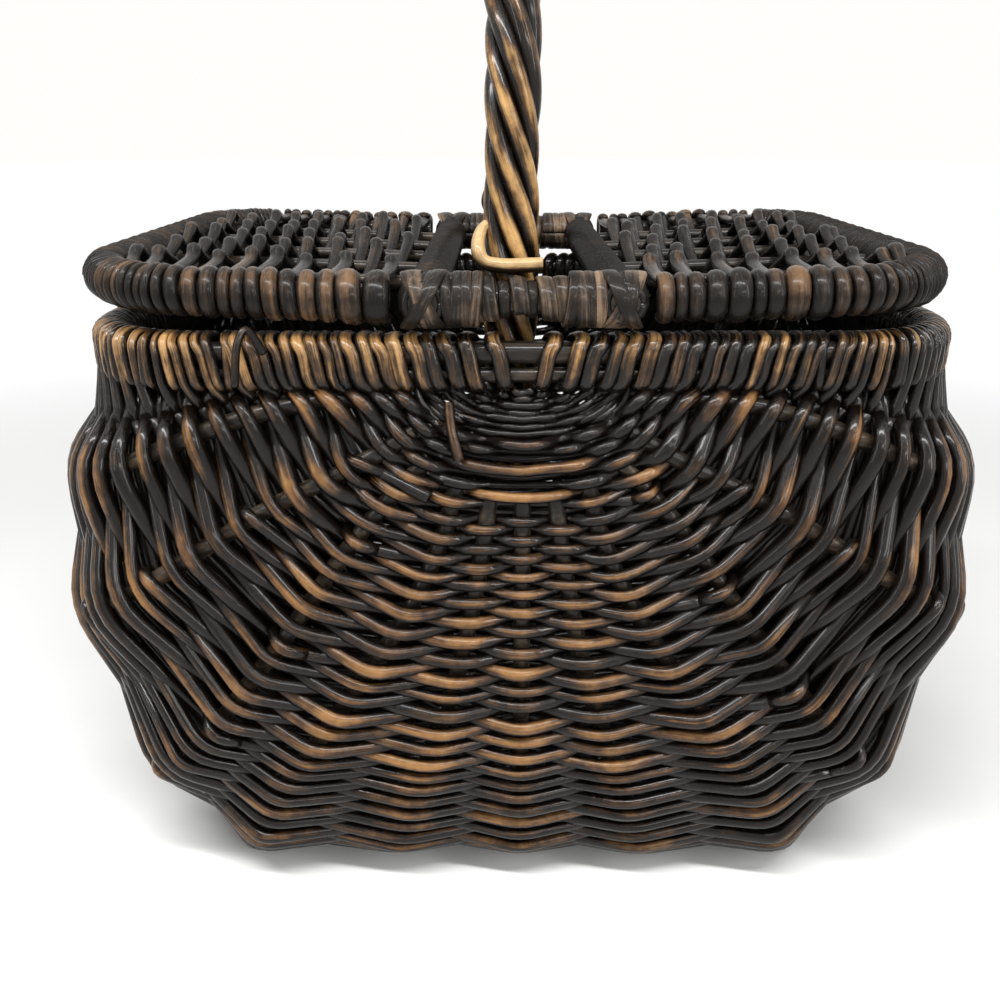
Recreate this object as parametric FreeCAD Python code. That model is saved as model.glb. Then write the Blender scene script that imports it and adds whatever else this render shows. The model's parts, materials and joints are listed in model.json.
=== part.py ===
# A willow rib basket for picnics, with a twisted handle and two lids hinged on a fixed bridge.
#
# Frame: X runs along the length of the basket, Y from front to back, Z up. The origin is on the
# ground under the middle of the basket. All sizes are in millimetres.

import FreeCAD
import Part
import math
import os

Vector = FreeCAD.Vector

OUT = "parts"
LEFT = -1
RIGHT = 1
FRONT = -1
BACK = 1
SIDE_NAMES = {LEFT: "left", RIGHT: "right"}
END_NAMES = {FRONT: "front", BACK: "back"}

# Heights of the rim and the lids
RIM_Z = 256.0
LID_Z = 277.0

# Plan of the rim and the lids, measured to the middle of their rods
RIM_HALF_LENGTH = 174.0
RIM_HALF_DEPTH = 125.0
RIM_CORNER = 48.0

# The middle of the wall: height, half length, half depth and corner radius in plan
BOTTOM_RIB_Z = 8.0
WALL_LEVELS = [
    (BOTTOM_RIB_Z, 139.0, 103.0, 50.0),
    (51.0, 175.0, 130.0, 56.0),
    (127.0, 200.0, 141.0, 60.0),
    (199.0, 195.0, 134.0, 56.0),
    (RIM_Z, RIM_HALF_LENGTH, RIM_HALF_DEPTH, RIM_CORNER),
]

# Rim: a main rod, a thinner rod under it, and the weavers that bind the two
RIM_ROD_RADIUS = 4.5
RIM_LOWER_ROD_RADIUS = 3.0
RIM_LOWER_Z = RIM_Z - 9.0
RIM_BINDING_HALF_WIDTH = 7.2
RIM_BINDING_TOP = RIM_Z + 7.5
RIM_BINDING_BOTTOM = RIM_LOWER_Z - 5.5

# Ribs, which fan out of the ear under each foot of the handle
RIB_RADIUS = 3.6
RIB_STATIONS = 16
EAR_Z = 246.0
EAR_RADIUS = 44.0
EAR_THICKNESS = 9.0
# Ribs that run round the ends of the basket: way along the plan from the middle, and height
SIDE_RIBS = {
    5: [(47, 236.5), (88, 236), (124, 226), (148, 216), (171, 207), (215, 200)],
    4: [(43, 225), (72, 209), (108, 191), (127, 179), (175, 149), (230, 130)],
    3: [(37, 215), (50, 202), (72, 176), (99, 138), (119, 112), (140, 84), (172, 58), (225, 51)],
}
SIDE_RIB_END_Z = {5: 199.0, 4: 127.0, 3: 51.0}
# Ribs that run under the bottom: distance from the middle of the front, and height
BOTTOM_RIBS = {
    2: [(26, 206), (33, 180), (53, 140), (76, 105), (98, 72), (115, 42)],
    1: [(13, 200), (18, 165), (29, 115), (41, 75), (51, 42)],
    0: [(0, 198), (0, 165), (0, 115), (0, 75), (0, 42)],
}
BOTTOM_RIB_X = {2: 133.0, 1: 62.0, 0: 0.0}

# Weaving between the ribs
WEAVE_HALF_THICKNESS = 4.0
WEAVE_SWING = 2.5
WEAVE_ROWS_PER_STATION = 3
GAP = 0.15
WEAVE_RIB_GAP = 0.5
NARROWEST_WEAVE = 1.2

# Handle: a core with six rods twisted round it
HANDLE_X = -4.5
HANDLE_FOOT_Y = 107.0
HANDLE_FOOT_Z = 205.0
HANDLE_SPRING_Z = 335.0
HANDLE_PITCH = 124.0
STRANDS = 6
STRAND_RADIUS = 3.5
STRAND_OFFSET = 7.2
HANDLE_CORE_RADIUS = 3.4
STATIONS_PER_TURN = 16
HANDLE_RADIUS = STRAND_OFFSET + STRAND_RADIUS
HANDLE_LASHING_Z = 213.0
HANDLE_LASHING_HEIGHT = 20.0
HANDLE_LASHING_WALL = 2.2

# Bridge: a short bound bar at the front and the back, tied to the feet of the handle
BRIDGE_Y = 127.0
BRIDGE_ROD_RADIUS = 5.5
BRIDGE_BINDING_RADIUS = 9.0
BRIDGE_HALF_LENGTH = 25.0

# Hinges: the inner bar of each lid turns in a lashing at each end
HINGE_X = 38.0
HINGE_BAR_RADIUS = 5.5
HINGE_BAR_HALF_LENGTH = 137.8
HINGE_CLEARANCE = 0.1
LASHING_RADIUS = 12.8
LASHING_FRONT_RADIUS = 11.4
COLLAR_RADIUS = 10.8
COLLAR_INNER_X = 17.0

# Lids
LID_HALF_LENGTHS = {LEFT: 173.0, RIGHT: 167.0}
LID_HALF_DEPTH = 127.0
LID_CORNER = 50.0
LID_REST_TILT = 2.0
LID_INNER_X = 51.5
LID_ROD_RADIUS = 5.0
LID_ROLL_RADIUS = 10.2
LID_PLATE_HALF_THICKNESS = 6.5
BAR_BINDING_RADIUS = 8.6
BAR_BINDING_HALF_LENGTH = 115.0
LID_STAKES = 5
LID_STAKE_PITCH = 43.0
LID_STAKE_RADIUS = 2.8
LID_STAKE_END_GAP = 2.5
LID_PLATE_START_X = HINGE_X + BAR_BINDING_RADIUS + GAP

# Tie: a withy bent round the front of each foot of the handle, lying on the bridge
TIE_RADIUS = 3.1
TIE_Z = LID_Z + BRIDGE_BINDING_RADIUS + TIE_RADIUS + GAP

X_AXIS = Vector(1, 0, 0)
Y_AXIS = Vector(0, 1, 0)
Z_AXIS = Vector(0, 0, 1)


def save(name, solids):
    """Writes one sub-part, which may be several separate solids."""
    for solid in solids:
        if not solid.isValid() or solid.Volume <= 0:
            raise ValueError("bad solid in " + name)
    shape = solids[0] if len(solids) == 1 else Part.makeCompound(solids)
    shape.exportStep(os.path.join(OUT, name + ".step"))
    print(name, len(solids), round(sum(s.Volume for s in solids)))


def solid_of(shape):
    """The one solid that a boolean or a loft has made."""
    if len(shape.Solids) != 1:
        raise ValueError("expected one solid, found %d" % len(shape.Solids))
    return shape.Solids[0]


def cylinder(radius, start, axis, length):
    return Part.makeCylinder(radius, length, start, axis)


def wall_at(z):
    """Half length, half depth and corner radius of the wall's middle at a height."""
    for low, high in zip(WALL_LEVELS, WALL_LEVELS[1:]):
        if z <= high[0]:
            share = max(0.0, (z - low[0]) / (high[0] - low[0]))
            return [low[i] + share * (high[i] - low[i]) for i in (1, 2, 3)]
    return list(WALL_LEVELS[-1][1:])


def plan_point(way, half_length, half_depth, corner):
    """A point of a rounded rectangle, from the middle of the front towards +X."""
    straight = half_length - corner
    quarter = corner * math.pi / 2
    if way <= straight:
        return way, -half_depth
    if way <= straight + quarter:
        angle = (way - straight) / corner
        x = straight + corner * math.sin(angle)
        return x, -(half_depth - corner) - corner * math.cos(angle)
    return half_length, -(half_depth - corner) + (way - straight - quarter)


def closed_solid(faces):
    """A solid from the faces that bound it."""
    shell = Part.makeShell(faces)
    shell.sewShape()
    solid = Part.makeSolid(Part.Shell(shell.Faces))
    if solid.Volume < 0:
        solid.reverse()
    return solid


def aligned_rod(centres, normals, starts, radius):
    """A round rod, ruled between circles that each start from a given direction."""
    circles = []
    for centre, normal, start in zip(centres, normals, starts):
        circle = Part.Circle()
        circle.Center = centre
        circle.Radius = radius
        circle.Axis = normal
        circle.XAxis = start
        circles.append(circle.toShape())
    faces = [Part.Face(Part.Wire(circles[0])), Part.Face(Part.Wire(circles[-1]))]
    for near, far in zip(circles, circles[1:]):
        faces.append(Part.makeRuledSurface(near, far))
    return closed_solid(faces)


def rod(points, radius):
    """A round rod through points, with circles square to its way that don't turn about it."""
    normals = []
    starts = []
    start = Vector(0.3, 0.2, 1.0)
    for i in range(len(points)):
        before = points[max(i - 1, 0)]
        after = points[min(i + 1, len(points) - 1)]
        normal = (after - before).normalize()
        start = (start - normal * start.dot(normal)).normalize()
        normals.append(normal)
        starts.append(start)
    return aligned_rod(points, normals, starts, radius)


def rounded_rectangle(half_length, half_depth, corner, z):
    """A closed wire in plan, of four lines and four arcs."""
    edges = []
    for turn in range(4):
        angle = turn * math.pi / 2
        along = (half_length, half_depth) if turn % 2 == 0 else (half_depth, half_length)
        local = [
            (along[0] - corner, -along[1]),
            (along[0] - corner * (1 - math.sin(math.pi / 4)),
             -along[1] + corner * (1 - math.cos(math.pi / 4))),
            (along[0], -along[1] + corner),
            (along[0], along[1] - corner),
        ]
        p = [Vector(x * math.cos(angle) - y * math.sin(angle),
                    x * math.sin(angle) + y * math.cos(angle), z) for x, y in local]
        edges.append(Part.Arc(p[0], p[1], p[2]).toShape())
        edges.append(Part.LineSegment(p[2], p[3]).toShape())
    return Part.Wire(Part.__sortEdges__(edges))


def hoop(z, profile):
    """A profile in the YZ plane, centred on the front of the rim, swept round the rim."""
    path = rounded_rectangle(RIM_HALF_LENGTH, RIM_HALF_DEPTH, RIM_CORNER, z)
    return solid_of(path.makePipeShell([profile], True, True))


def front_circle(radius, z):
    return Part.Wire(Part.makeCircle(radius, Vector(0, -RIM_HALF_DEPTH, z), X_AXIS))


def rim_binding_profile():
    """A tall rounded slot that goes round both rim rods."""
    w = RIM_BINDING_HALF_WIDTH
    y = -RIM_HALF_DEPTH
    top = RIM_BINDING_TOP - w
    low = RIM_BINDING_BOTTOM + w
    edges = [
        Part.LineSegment(Vector(0, y - w, low), Vector(0, y - w, top)).toShape(),
        Part.Arc(Vector(0, y - w, top), Vector(0, y, top + w), Vector(0, y + w, top)).toShape(),
        Part.LineSegment(Vector(0, y + w, top), Vector(0, y + w, low)).toShape(),
        Part.Arc(Vector(0, y + w, low), Vector(0, y, low - w), Vector(0, y - w, low)).toShape(),
    ]
    return Part.Wire(edges)


def make_rim():
    save("rim_rod", [hoop(RIM_Z, front_circle(RIM_ROD_RADIUS, RIM_Z))])
    save("rim_lower_rod", [hoop(RIM_LOWER_Z, front_circle(RIM_LOWER_ROD_RADIUS, RIM_LOWER_Z))])
    binding = hoop(RIM_Z, rim_binding_profile())
    binding = binding.cut(hoop(RIM_Z, front_circle(RIM_ROD_RADIUS + GAP, RIM_Z)))
    binding = binding.cut(hoop(RIM_LOWER_Z, front_circle(RIM_LOWER_ROD_RADIUS + GAP, RIM_LOWER_Z)))
    save("rim_binding", [solid_of(binding)])


def spread(front_points):
    """Evenly spaced points along a rib, from the front ear to the back one."""
    back_points = [Vector(p.x, -p.y, p.z) for p in reversed(front_points[:-1])]
    curve = Part.BSplineCurve()
    curve.interpolate(front_points + back_points)
    points = curve.discretize(Number=2 * RIB_STATIONS + 1)
    for p in points:
        p.z = max(p.z, BOTTOM_RIB_Z)
        if p.z < BOTTOM_RIB_Z + 1.0 and abs(p.y) < WALL_LEVELS[0][2]:
            p.z = BOTTOM_RIB_Z
    return points


def side_rib_points(number):
    """A rib that runs from the ear, round the right end of the basket."""
    points = []
    for way, z in SIDE_RIBS[number]:
        x, y = plan_point(way, *wall_at(z))
        points.append(Vector(x, y, z))
    end_z = SIDE_RIB_END_Z[number]
    points.append(Vector(wall_at(end_z)[0], 0, end_z))
    return spread(points)


def bottom_rib_points(number):
    """A rib that runs from the ear, down the front and under the bottom."""
    points = [Vector(x, -wall_at(z)[1], z) for x, z in BOTTOM_RIBS[number]]
    foot_x = BOTTOM_RIB_X[number]
    depth = wall_at(BOTTOM_RIB_Z)[1]
    points.append(Vector(foot_x * 0.95, -depth, BOTTOM_RIB_Z + 1.5))
    for share in (0.8, 0.4, 0.0):
        points.append(Vector(foot_x, -depth * share, BOTTOM_RIB_Z))
    return spread(points)


def wall_top_points():
    """The upper edge of the weaving, just under the binding of the rim."""
    z = RIM_BINDING_BOTTOM - GAP
    points = []
    for way in (47, 88, 124, 148, 171, 215):
        x, y = plan_point(way, *wall_at(z))
        points.append(Vector(x, y, z))
    points.append(Vector(wall_at(z)[0], 0, z))
    path = spread(points)
    for p in path:
        p.z = z
    return path


def make_ribs():
    """Builds the keel and ten ribs, and returns the right-hand paths from keel to wall top."""
    paths = {}
    for number in BOTTOM_RIBS:
        paths[number] = bottom_rib_points(number)
    for number in SIDE_RIBS:
        paths[number] = side_rib_points(number)
    save("keel_rib", [rod(paths[0], RIB_RADIUS)])
    for number in range(1, 6):
        rib = rod(paths[number], RIB_RADIUS)
        save("rib_right_%d" % number, [rib])
        save("rib_left_%d" % number, [rib.mirror(Vector(0, 0, 0), X_AXIS)])
    paths[6] = wall_top_points()
    return paths


def flat_faces(corners):
    """A patch, as one flat face or, where it is warped, as triangles from its first corner."""
    first = corners[0]
    normal = (corners[1] - first).cross(corners[2] - first).normalize()
    if all(abs(normal.dot(c - first)) < 1e-7 for c in corners):
        return [Part.Face(Part.makePolygon(corners + [first]))]
    pairs = zip(corners[1:], corners[2:])
    return [Part.Face(Part.makePolygon([first, b, c, first])) for b, c in pairs]


def faceted_strip(sections):
    """A closed solid with flat faces through four-cornered sections."""
    faces = flat_faces(sections[0]) + flat_faces(sections[-1])
    for near, far in zip(sections, sections[1:]):
        for i in range(4):
            j = (i + 1) % 4
            faces += flat_faces([near[i], near[j], far[j], far[i]])
    return closed_solid(faces)


def rib_side(path, other, i):
    """Directions at a rib: towards its neighbour and out of the basket, both square to the rib."""
    way = path[min(i + 1, len(path) - 1)] - path[max(i - 1, 0)]
    way = way.normalize()
    towards = other[i] - path[i]
    towards = (towards - way * towards.dot(way)).normalize()
    return towards, way.cross(towards)


def panel_edges(lower, upper, i, upper_clear):
    """Both edges of a panel at a station, each as its middle point, outward way and height."""
    across, out = rib_side(lower, upper, i)
    back, inward = rib_side(upper, lower, i)
    near = lower[i] + across * (RIB_RADIUS + WEAVE_RIB_GAP)
    far = upper[i] + back * upper_clear
    return [near, out, lower[i].z], [far, inward * -1, upper[i].z]


def between(edge, next_edge, share):
    return [a + (b - a) * share for a, b in zip(edge, next_edge)]


def weave_edge(edge, goes_over):
    """Outer and inner corner of a row where it passes a rib, either over it or under it."""
    middle, out, rib_z = edge
    swing = WEAVE_SWING if goes_over else -WEAVE_SWING
    out_way = Vector(out).normalize()
    if rib_z < BOTTOM_RIB_Z + 0.01:
        return middle + out_way * BOTTOM_RIB_Z, middle - out_way * WEAVE_HALF_THICKNESS
    return (middle + out_way * (swing + WEAVE_HALF_THICKNESS),
            middle + out_way * (swing - WEAVE_HALF_THICKNESS))


def weave_panel(number, lower, upper, stations, upper_clear):
    """The rows between two ribs. Each goes over one rib and under the next, by turns."""
    least = RIB_RADIUS + WEAVE_RIB_GAP + upper_clear + NARROWEST_WEAVE
    wide = [i for i in stations if (upper[i] - lower[i]).Length > least]
    edges = [panel_edges(lower, upper, i, upper_clear) for i in wide]
    rows = []
    for here, following in zip(edges, edges[1:]):
        for step in range(WEAVE_ROWS_PER_STATION):
            share = step / WEAVE_ROWS_PER_STATION
            rows.append([between(a, b, share) for a, b in zip(here, following)])
    rows.append(edges[-1])
    sections = []
    for row, (near, far) in enumerate(rows):
        near_out, near_in = weave_edge(near, (row + number) % 2 == 0)
        far_out, far_in = weave_edge(far, (row + number) % 2 == 1)
        sections.append([near_out, far_out, far_in, near_in])
    return faceted_strip(sections)


def make_weave(paths):
    """The weaving comes in two halves, one worked out from each ear. They meet under the middle."""
    halves = {
        "front": range(0, RIB_STATIONS + 1),
        "back": range(RIB_STATIONS, 2 * RIB_STATIONS + 1),
    }
    for name, stations in halves.items():
        panels = []
        for number in range(6):
            clear = GAP if number == 5 else RIB_RADIUS + WEAVE_RIB_GAP
            panel = weave_panel(number, paths[number], paths[number + 1], stations, clear)
            panels.append(panel)
            panels.append(panel.mirror(Vector(0, 0, 0), X_AXIS))
        save("weave_" + name, panels)


def ear_disc(thickness):
    """The slab of weaving that the front ear is cut from, leaning with the wall."""
    slope = math.degrees(math.atan2(wall_at(201.0)[1] - RIM_HALF_DEPTH, RIM_Z - 201.0))
    disc = cylinder(EAR_RADIUS - RIB_RADIUS, Vector(0, -thickness / 2, 0), Y_AXIS, thickness)
    disc.rotate(Vector(0, 0, 0), X_AXIS, -slope)
    disc.translate(Vector(0, -wall_at(EAR_Z)[1], EAR_Z))
    return disc


def make_ear(side):
    """A half round of tight weaving that holds the ends of the ribs."""
    top = RIM_BINDING_BOTTOM - GAP
    low_corner = Vector(-EAR_RADIUS, -wall_at(EAR_Z)[1] - EAR_RADIUS, top - 2 * EAR_RADIUS)
    below_rim = Part.makeBox(2 * EAR_RADIUS, 2 * EAR_RADIUS, 2 * EAR_RADIUS, low_corner)
    ear = solid_of(ear_disc(EAR_THICKNESS).common(below_rim))
    if side == BACK:
        ear = ear.mirror(Vector(0, 0, 0), Y_AXIS)
    save("ear_" + END_NAMES[side], [ear])


def handle_frame(way):
    """Centre, direction and inward direction of the handle at a distance from its front foot."""
    rise = HANDLE_SPRING_Z - HANDLE_FOOT_Z
    arch = math.pi * HANDLE_FOOT_Y
    if way <= rise:
        return Vector(HANDLE_X, -HANDLE_FOOT_Y, HANDLE_FOOT_Z + way), Z_AXIS, Y_AXIS
    if way <= rise + arch:
        angle = (way - rise) / HANDLE_FOOT_Y
        inward = Vector(0, math.cos(angle), -math.sin(angle))
        centre = Vector(HANDLE_X, 0, HANDLE_SPRING_Z) - inward * HANDLE_FOOT_Y
        return centre, Vector(0, math.sin(angle), math.cos(angle)), inward
    drop = way - rise - arch
    return Vector(HANDLE_X, HANDLE_FOOT_Y, HANDLE_SPRING_Z - drop), Z_AXIS * -1, Y_AXIS * -1


def make_handle():
    length = 2 * (HANDLE_SPRING_Z - HANDLE_FOOT_Z) + math.pi * HANDLE_FOOT_Y
    steps = round(length / HANDLE_PITCH * STATIONS_PER_TURN)
    frames = [handle_frame(length * i / steps) for i in range(steps + 1)]
    centres = [f[0] for f in frames]
    normals = [f[1] for f in frames]
    save("handle_core", [aligned_rod(centres, normals, [X_AXIS] * len(frames), HANDLE_CORE_RADIUS)])
    for number in range(STRANDS):
        points = []
        for i, (centre, normal, inward) in enumerate(frames):
            turn = -2 * math.pi * (length * i / steps / HANDLE_PITCH) + 2 * math.pi * number / STRANDS
            points.append(centre + (X_AXIS * math.cos(turn) + inward * math.sin(turn)) * STRAND_OFFSET)
        strand = aligned_rod(points, normals, [X_AXIS] * len(frames), STRAND_RADIUS)
        save("handle_strand_%d" % (number + 1), [strand])


def make_handle_lashing(side):
    """Split willow that holds the foot of the handle against the ear."""
    start = Vector(HANDLE_X, -HANDLE_FOOT_Y, HANDLE_LASHING_Z)
    width = 2 * (HANDLE_RADIUS + HANDLE_LASHING_WALL)
    depth = wall_at(HANDLE_LASHING_Z)[1] - HANDLE_FOOT_Y
    low_corner = start - Vector(width / 2, depth, 0)
    band = cylinder(width / 2, start, Z_AXIS, HANDLE_LASHING_HEIGHT)
    band = band.fuse(Part.makeBox(width, depth, HANDLE_LASHING_HEIGHT, low_corner))
    band = band.cut(cylinder(HANDLE_RADIUS + GAP, start, Z_AXIS, HANDLE_LASHING_HEIGHT))
    band = band.cut(ear_disc(EAR_THICKNESS + 2 * GAP))
    band = max(band.Solids, key=lambda s: s.Volume)
    if side == BACK:
        band = band.mirror(Vector(0, 0, 0), Y_AXIS)
    save("handle_lashing_" + END_NAMES[side], [band])


def make_bridge(side):
    start = Vector(-BRIDGE_HALF_LENGTH, side * BRIDGE_Y, LID_Z)
    bar = cylinder(BRIDGE_ROD_RADIUS, start, X_AXIS, 2 * BRIDGE_HALF_LENGTH)
    save("bridge_bar_" + END_NAMES[side], [bar])
    sleeve = cylinder(BRIDGE_BINDING_RADIUS, start, X_AXIS, 2 * BRIDGE_HALF_LENGTH)
    sleeve = sleeve.cut(cylinder(BRIDGE_ROD_RADIUS + GAP, start, X_AXIS, 2 * BRIDGE_HALF_LENGTH))
    save("bridge_binding_" + END_NAMES[side], [solid_of(sleeve)])


def make_hinge_lashing(side, hand):
    """Split willow lashed round the end of the bridge and, loosely, round the bar of a lid."""
    centre = Vector(hand * HINGE_X, side * BRIDGE_Y, LID_Z)
    low = centre - Y_AXIS * LASHING_FRONT_RADIUS
    length = 2 * LASHING_FRONT_RADIUS
    inner = Vector(hand * COLLAR_INNER_X, side * BRIDGE_Y, LID_Z)
    outward = X_AXIS * hand
    knob = cylinder(LASHING_RADIUS, low, Y_AXIS, length)
    knob = knob.common(cylinder(LASHING_FRONT_RADIUS, inner, outward, 2 * HINGE_X))
    lashing = knob.fuse(cylinder(COLLAR_RADIUS, inner, outward, HINGE_X - COLLAR_INNER_X))
    bar_end = BRIDGE_HALF_LENGTH + GAP - COLLAR_INNER_X
    lashing = lashing.cut(cylinder(BRIDGE_BINDING_RADIUS + GAP, inner, outward, bar_end))
    lashing = lashing.cut(cylinder(HINGE_BAR_RADIUS + HINGE_CLEARANCE, low, Y_AXIS, length))
    lashing = max(lashing.Solids, key=lambda s: s.Volume)
    save("hinge_lashing_%s_%s" % (END_NAMES[side], SIDE_NAMES[hand]), [lashing])


def make_tie(side):
    """A withy that hooks round the foot of the handle and crosses in front of it."""
    clear = HANDLE_RADIUS + TIE_RADIUS + GAP
    front = HANDLE_FOOT_Y + clear
    bend = 9.0
    beside = HANDLE_X - clear - 1.5
    start = Vector(beside, side * (HANDLE_FOOT_Y - 12.0), TIE_Z + 9.0)
    corner_in = Vector(beside, side * (front - bend), TIE_Z)
    corner_mid = Vector(beside + bend * 0.293, side * (front - bend * 0.293), TIE_Z)
    corner_out = Vector(beside + bend, side * front, TIE_Z)
    end = Vector(HANDLE_X + clear + 2.0, side * front, TIE_Z)
    path = [start, (start + corner_in) * 0.5, corner_in, corner_mid, corner_out, end]
    save("tie_" + END_NAMES[side], [rod(path, TIE_RADIUS)])


def border_path(half_length, half_depth, corner):
    """The open way round a right-hand lid, from its front inner end to its back inner end."""
    s = corner * math.sin(math.pi / 4)
    x, y, z = half_length, half_depth, LID_Z
    cx, cy = x - corner, y - corner
    edges = [
        Part.LineSegment(Vector(LID_INNER_X, -y, z), Vector(cx, -y, z)).toShape(),
        Part.Arc(Vector(cx, -y, z), Vector(cx + s, -cy - s, z), Vector(x, -cy, z)).toShape(),
        Part.LineSegment(Vector(x, -cy, z), Vector(x, cy, z)).toShape(),
        Part.Arc(Vector(x, cy, z), Vector(cx + s, cy + s, z), Vector(cx, y, z)).toShape(),
        Part.LineSegment(Vector(cx, y, z), Vector(LID_INNER_X, y, z)).toShape(),
    ]
    return Part.Wire(edges)


def border_tube(half_length, radius):
    path = border_path(half_length, LID_HALF_DEPTH, LID_CORNER)
    circle = Part.Wire(Part.makeCircle(radius, Vector(LID_INNER_X, -LID_HALF_DEPTH, LID_Z), X_AXIS))
    return solid_of(path.makePipeShell([circle], True, True))


def lid_plate(half_length):
    """The flat of the lid, out to the middle of its border rod."""
    outline = border_path(half_length, LID_HALF_DEPTH, LID_CORNER)
    inner = LID_PLATE_START_X
    y = LID_HALF_DEPTH
    notch_y = BRIDGE_Y - LASHING_FRONT_RADIUS - 1.0
    corners = [
        Vector(LID_INNER_X, y, LID_Z), Vector(LID_INNER_X, notch_y, LID_Z),
        Vector(inner, notch_y, LID_Z), Vector(inner, -notch_y, LID_Z),
        Vector(LID_INNER_X, -notch_y, LID_Z), Vector(LID_INNER_X, -y, LID_Z),
    ]
    closing = [Part.LineSegment(a, b).toShape() for a, b in zip(corners, corners[1:])]
    face = Part.Face(Part.Wire(outline.Edges + closing))
    face.translate(Vector(0, 0, -LID_PLATE_HALF_THICKNESS))
    return solid_of(face.extrude(Vector(0, 0, 2 * LID_PLATE_HALF_THICKNESS)))


def stake_rows():
    middle = (LID_STAKES - 1) / 2
    return [(i - middle) * LID_STAKE_PITCH for i in range(LID_STAKES)]


def border_x(half_length, y):
    """How far out the middle of the border rod is, level with a stake."""
    over = max(0.0, abs(y) - (LID_HALF_DEPTH - LID_CORNER))
    return half_length - LID_CORNER + math.sqrt(LID_CORNER ** 2 - over ** 2)


def stake(half_length, y, radius, short_by):
    length = border_x(half_length, y) - LID_ROD_RADIUS - short_by - LID_PLATE_START_X
    return cylinder(radius, Vector(LID_PLATE_START_X, y, LID_Z), X_AXIS, length)


def lid_pieces(half_length):
    """The pieces of a lid, lying level on the right-hand side."""
    bar_start = Vector(HINGE_X, -HINGE_BAR_HALF_LENGTH, LID_Z)
    bar = cylinder(HINGE_BAR_RADIUS, bar_start, Y_AXIS, 2 * HINGE_BAR_HALF_LENGTH)
    binding_start = Vector(HINGE_X, -BAR_BINDING_HALF_LENGTH, LID_Z)
    binding = cylinder(BAR_BINDING_RADIUS, binding_start, Y_AXIS, 2 * BAR_BINDING_HALF_LENGTH)
    core = cylinder(HINGE_BAR_RADIUS + GAP, binding_start, Y_AXIS, 2 * BAR_BINDING_HALF_LENGTH)
    weave = lid_plate(half_length).fuse(border_tube(half_length, LID_ROLL_RADIUS))
    weave = weave.cut(border_tube(half_length, LID_ROD_RADIUS + GAP))
    for y in stake_rows():
        weave = weave.cut(stake(half_length, y, LID_STAKE_RADIUS + GAP, LID_STAKE_END_GAP - GAP))
    weave = max(weave.Solids, key=lambda s: s.Volume)
    stakes = [stake(half_length, y, LID_STAKE_RADIUS, LID_STAKE_END_GAP) for y in stake_rows()]
    return {
        "hinge_bar": [bar],
        "bar_binding": [solid_of(binding.cut(core))],
        "border_rod": [border_tube(half_length, LID_ROD_RADIUS)],
        "stakes": stakes,
        "weave": [weave],
    }


def make_lids():
    """Both lids rest with their outer ends a little high, as the dry weave has warped."""
    axis_point = Vector(HINGE_X, 0, LID_Z)
    for side, half_length in LID_HALF_LENGTHS.items():
        for name, solids in lid_pieces(half_length).items():
            for solid in solids:
                solid.rotate(axis_point, Y_AXIS * -1, LID_REST_TILT)
            if side == LEFT:
                solids = [s.mirror(Vector(0, 0, 0), X_AXIS) for s in solids]
            save("lid_%s_%s" % (SIDE_NAMES[side], name), solids)


def main():
    os.makedirs(OUT, exist_ok=True)
    make_rim()
    paths = make_ribs()
    make_weave(paths)
    make_handle()
    for side in (FRONT, BACK):
        make_ear(side)
        make_handle_lashing(side)
        make_bridge(side)
        make_tie(side)
        for hand in (LEFT, RIGHT):
            make_hinge_lashing(side, hand)
    make_lids()


main()
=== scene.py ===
"""A willow rib basket with a twisted handle and two hinged lids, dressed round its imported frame."""

import json
import math
import random

import bpy
import numpy as np
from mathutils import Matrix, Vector

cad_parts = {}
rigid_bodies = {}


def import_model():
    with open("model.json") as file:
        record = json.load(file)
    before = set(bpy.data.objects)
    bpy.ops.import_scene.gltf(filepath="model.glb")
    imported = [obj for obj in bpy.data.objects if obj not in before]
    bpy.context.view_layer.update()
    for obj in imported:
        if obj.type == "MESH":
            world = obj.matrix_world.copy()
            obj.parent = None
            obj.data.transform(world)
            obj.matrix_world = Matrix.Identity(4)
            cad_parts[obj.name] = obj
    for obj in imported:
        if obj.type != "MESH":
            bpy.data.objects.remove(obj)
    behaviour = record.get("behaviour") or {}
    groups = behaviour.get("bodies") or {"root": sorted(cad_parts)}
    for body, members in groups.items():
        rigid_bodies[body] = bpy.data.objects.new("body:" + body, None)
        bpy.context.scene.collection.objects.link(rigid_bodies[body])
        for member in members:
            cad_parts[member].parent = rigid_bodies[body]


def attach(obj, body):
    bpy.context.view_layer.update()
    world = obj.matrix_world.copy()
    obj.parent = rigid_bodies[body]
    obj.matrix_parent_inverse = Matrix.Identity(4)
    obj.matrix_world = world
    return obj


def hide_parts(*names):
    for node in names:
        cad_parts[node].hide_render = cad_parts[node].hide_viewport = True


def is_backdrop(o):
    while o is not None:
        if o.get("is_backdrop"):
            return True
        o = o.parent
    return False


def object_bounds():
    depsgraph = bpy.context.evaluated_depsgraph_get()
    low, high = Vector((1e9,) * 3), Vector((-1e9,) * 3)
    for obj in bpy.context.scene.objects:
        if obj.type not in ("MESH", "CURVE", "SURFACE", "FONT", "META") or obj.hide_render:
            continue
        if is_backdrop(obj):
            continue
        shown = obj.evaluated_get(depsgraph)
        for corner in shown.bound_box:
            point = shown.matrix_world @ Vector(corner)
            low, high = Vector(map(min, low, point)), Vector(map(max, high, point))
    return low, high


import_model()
MM = 0.001


def write_size(name, table):
    table[name] = [list(map(float, corner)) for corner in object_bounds()]


sizes = {}
write_size("after_load", sizes)

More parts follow.
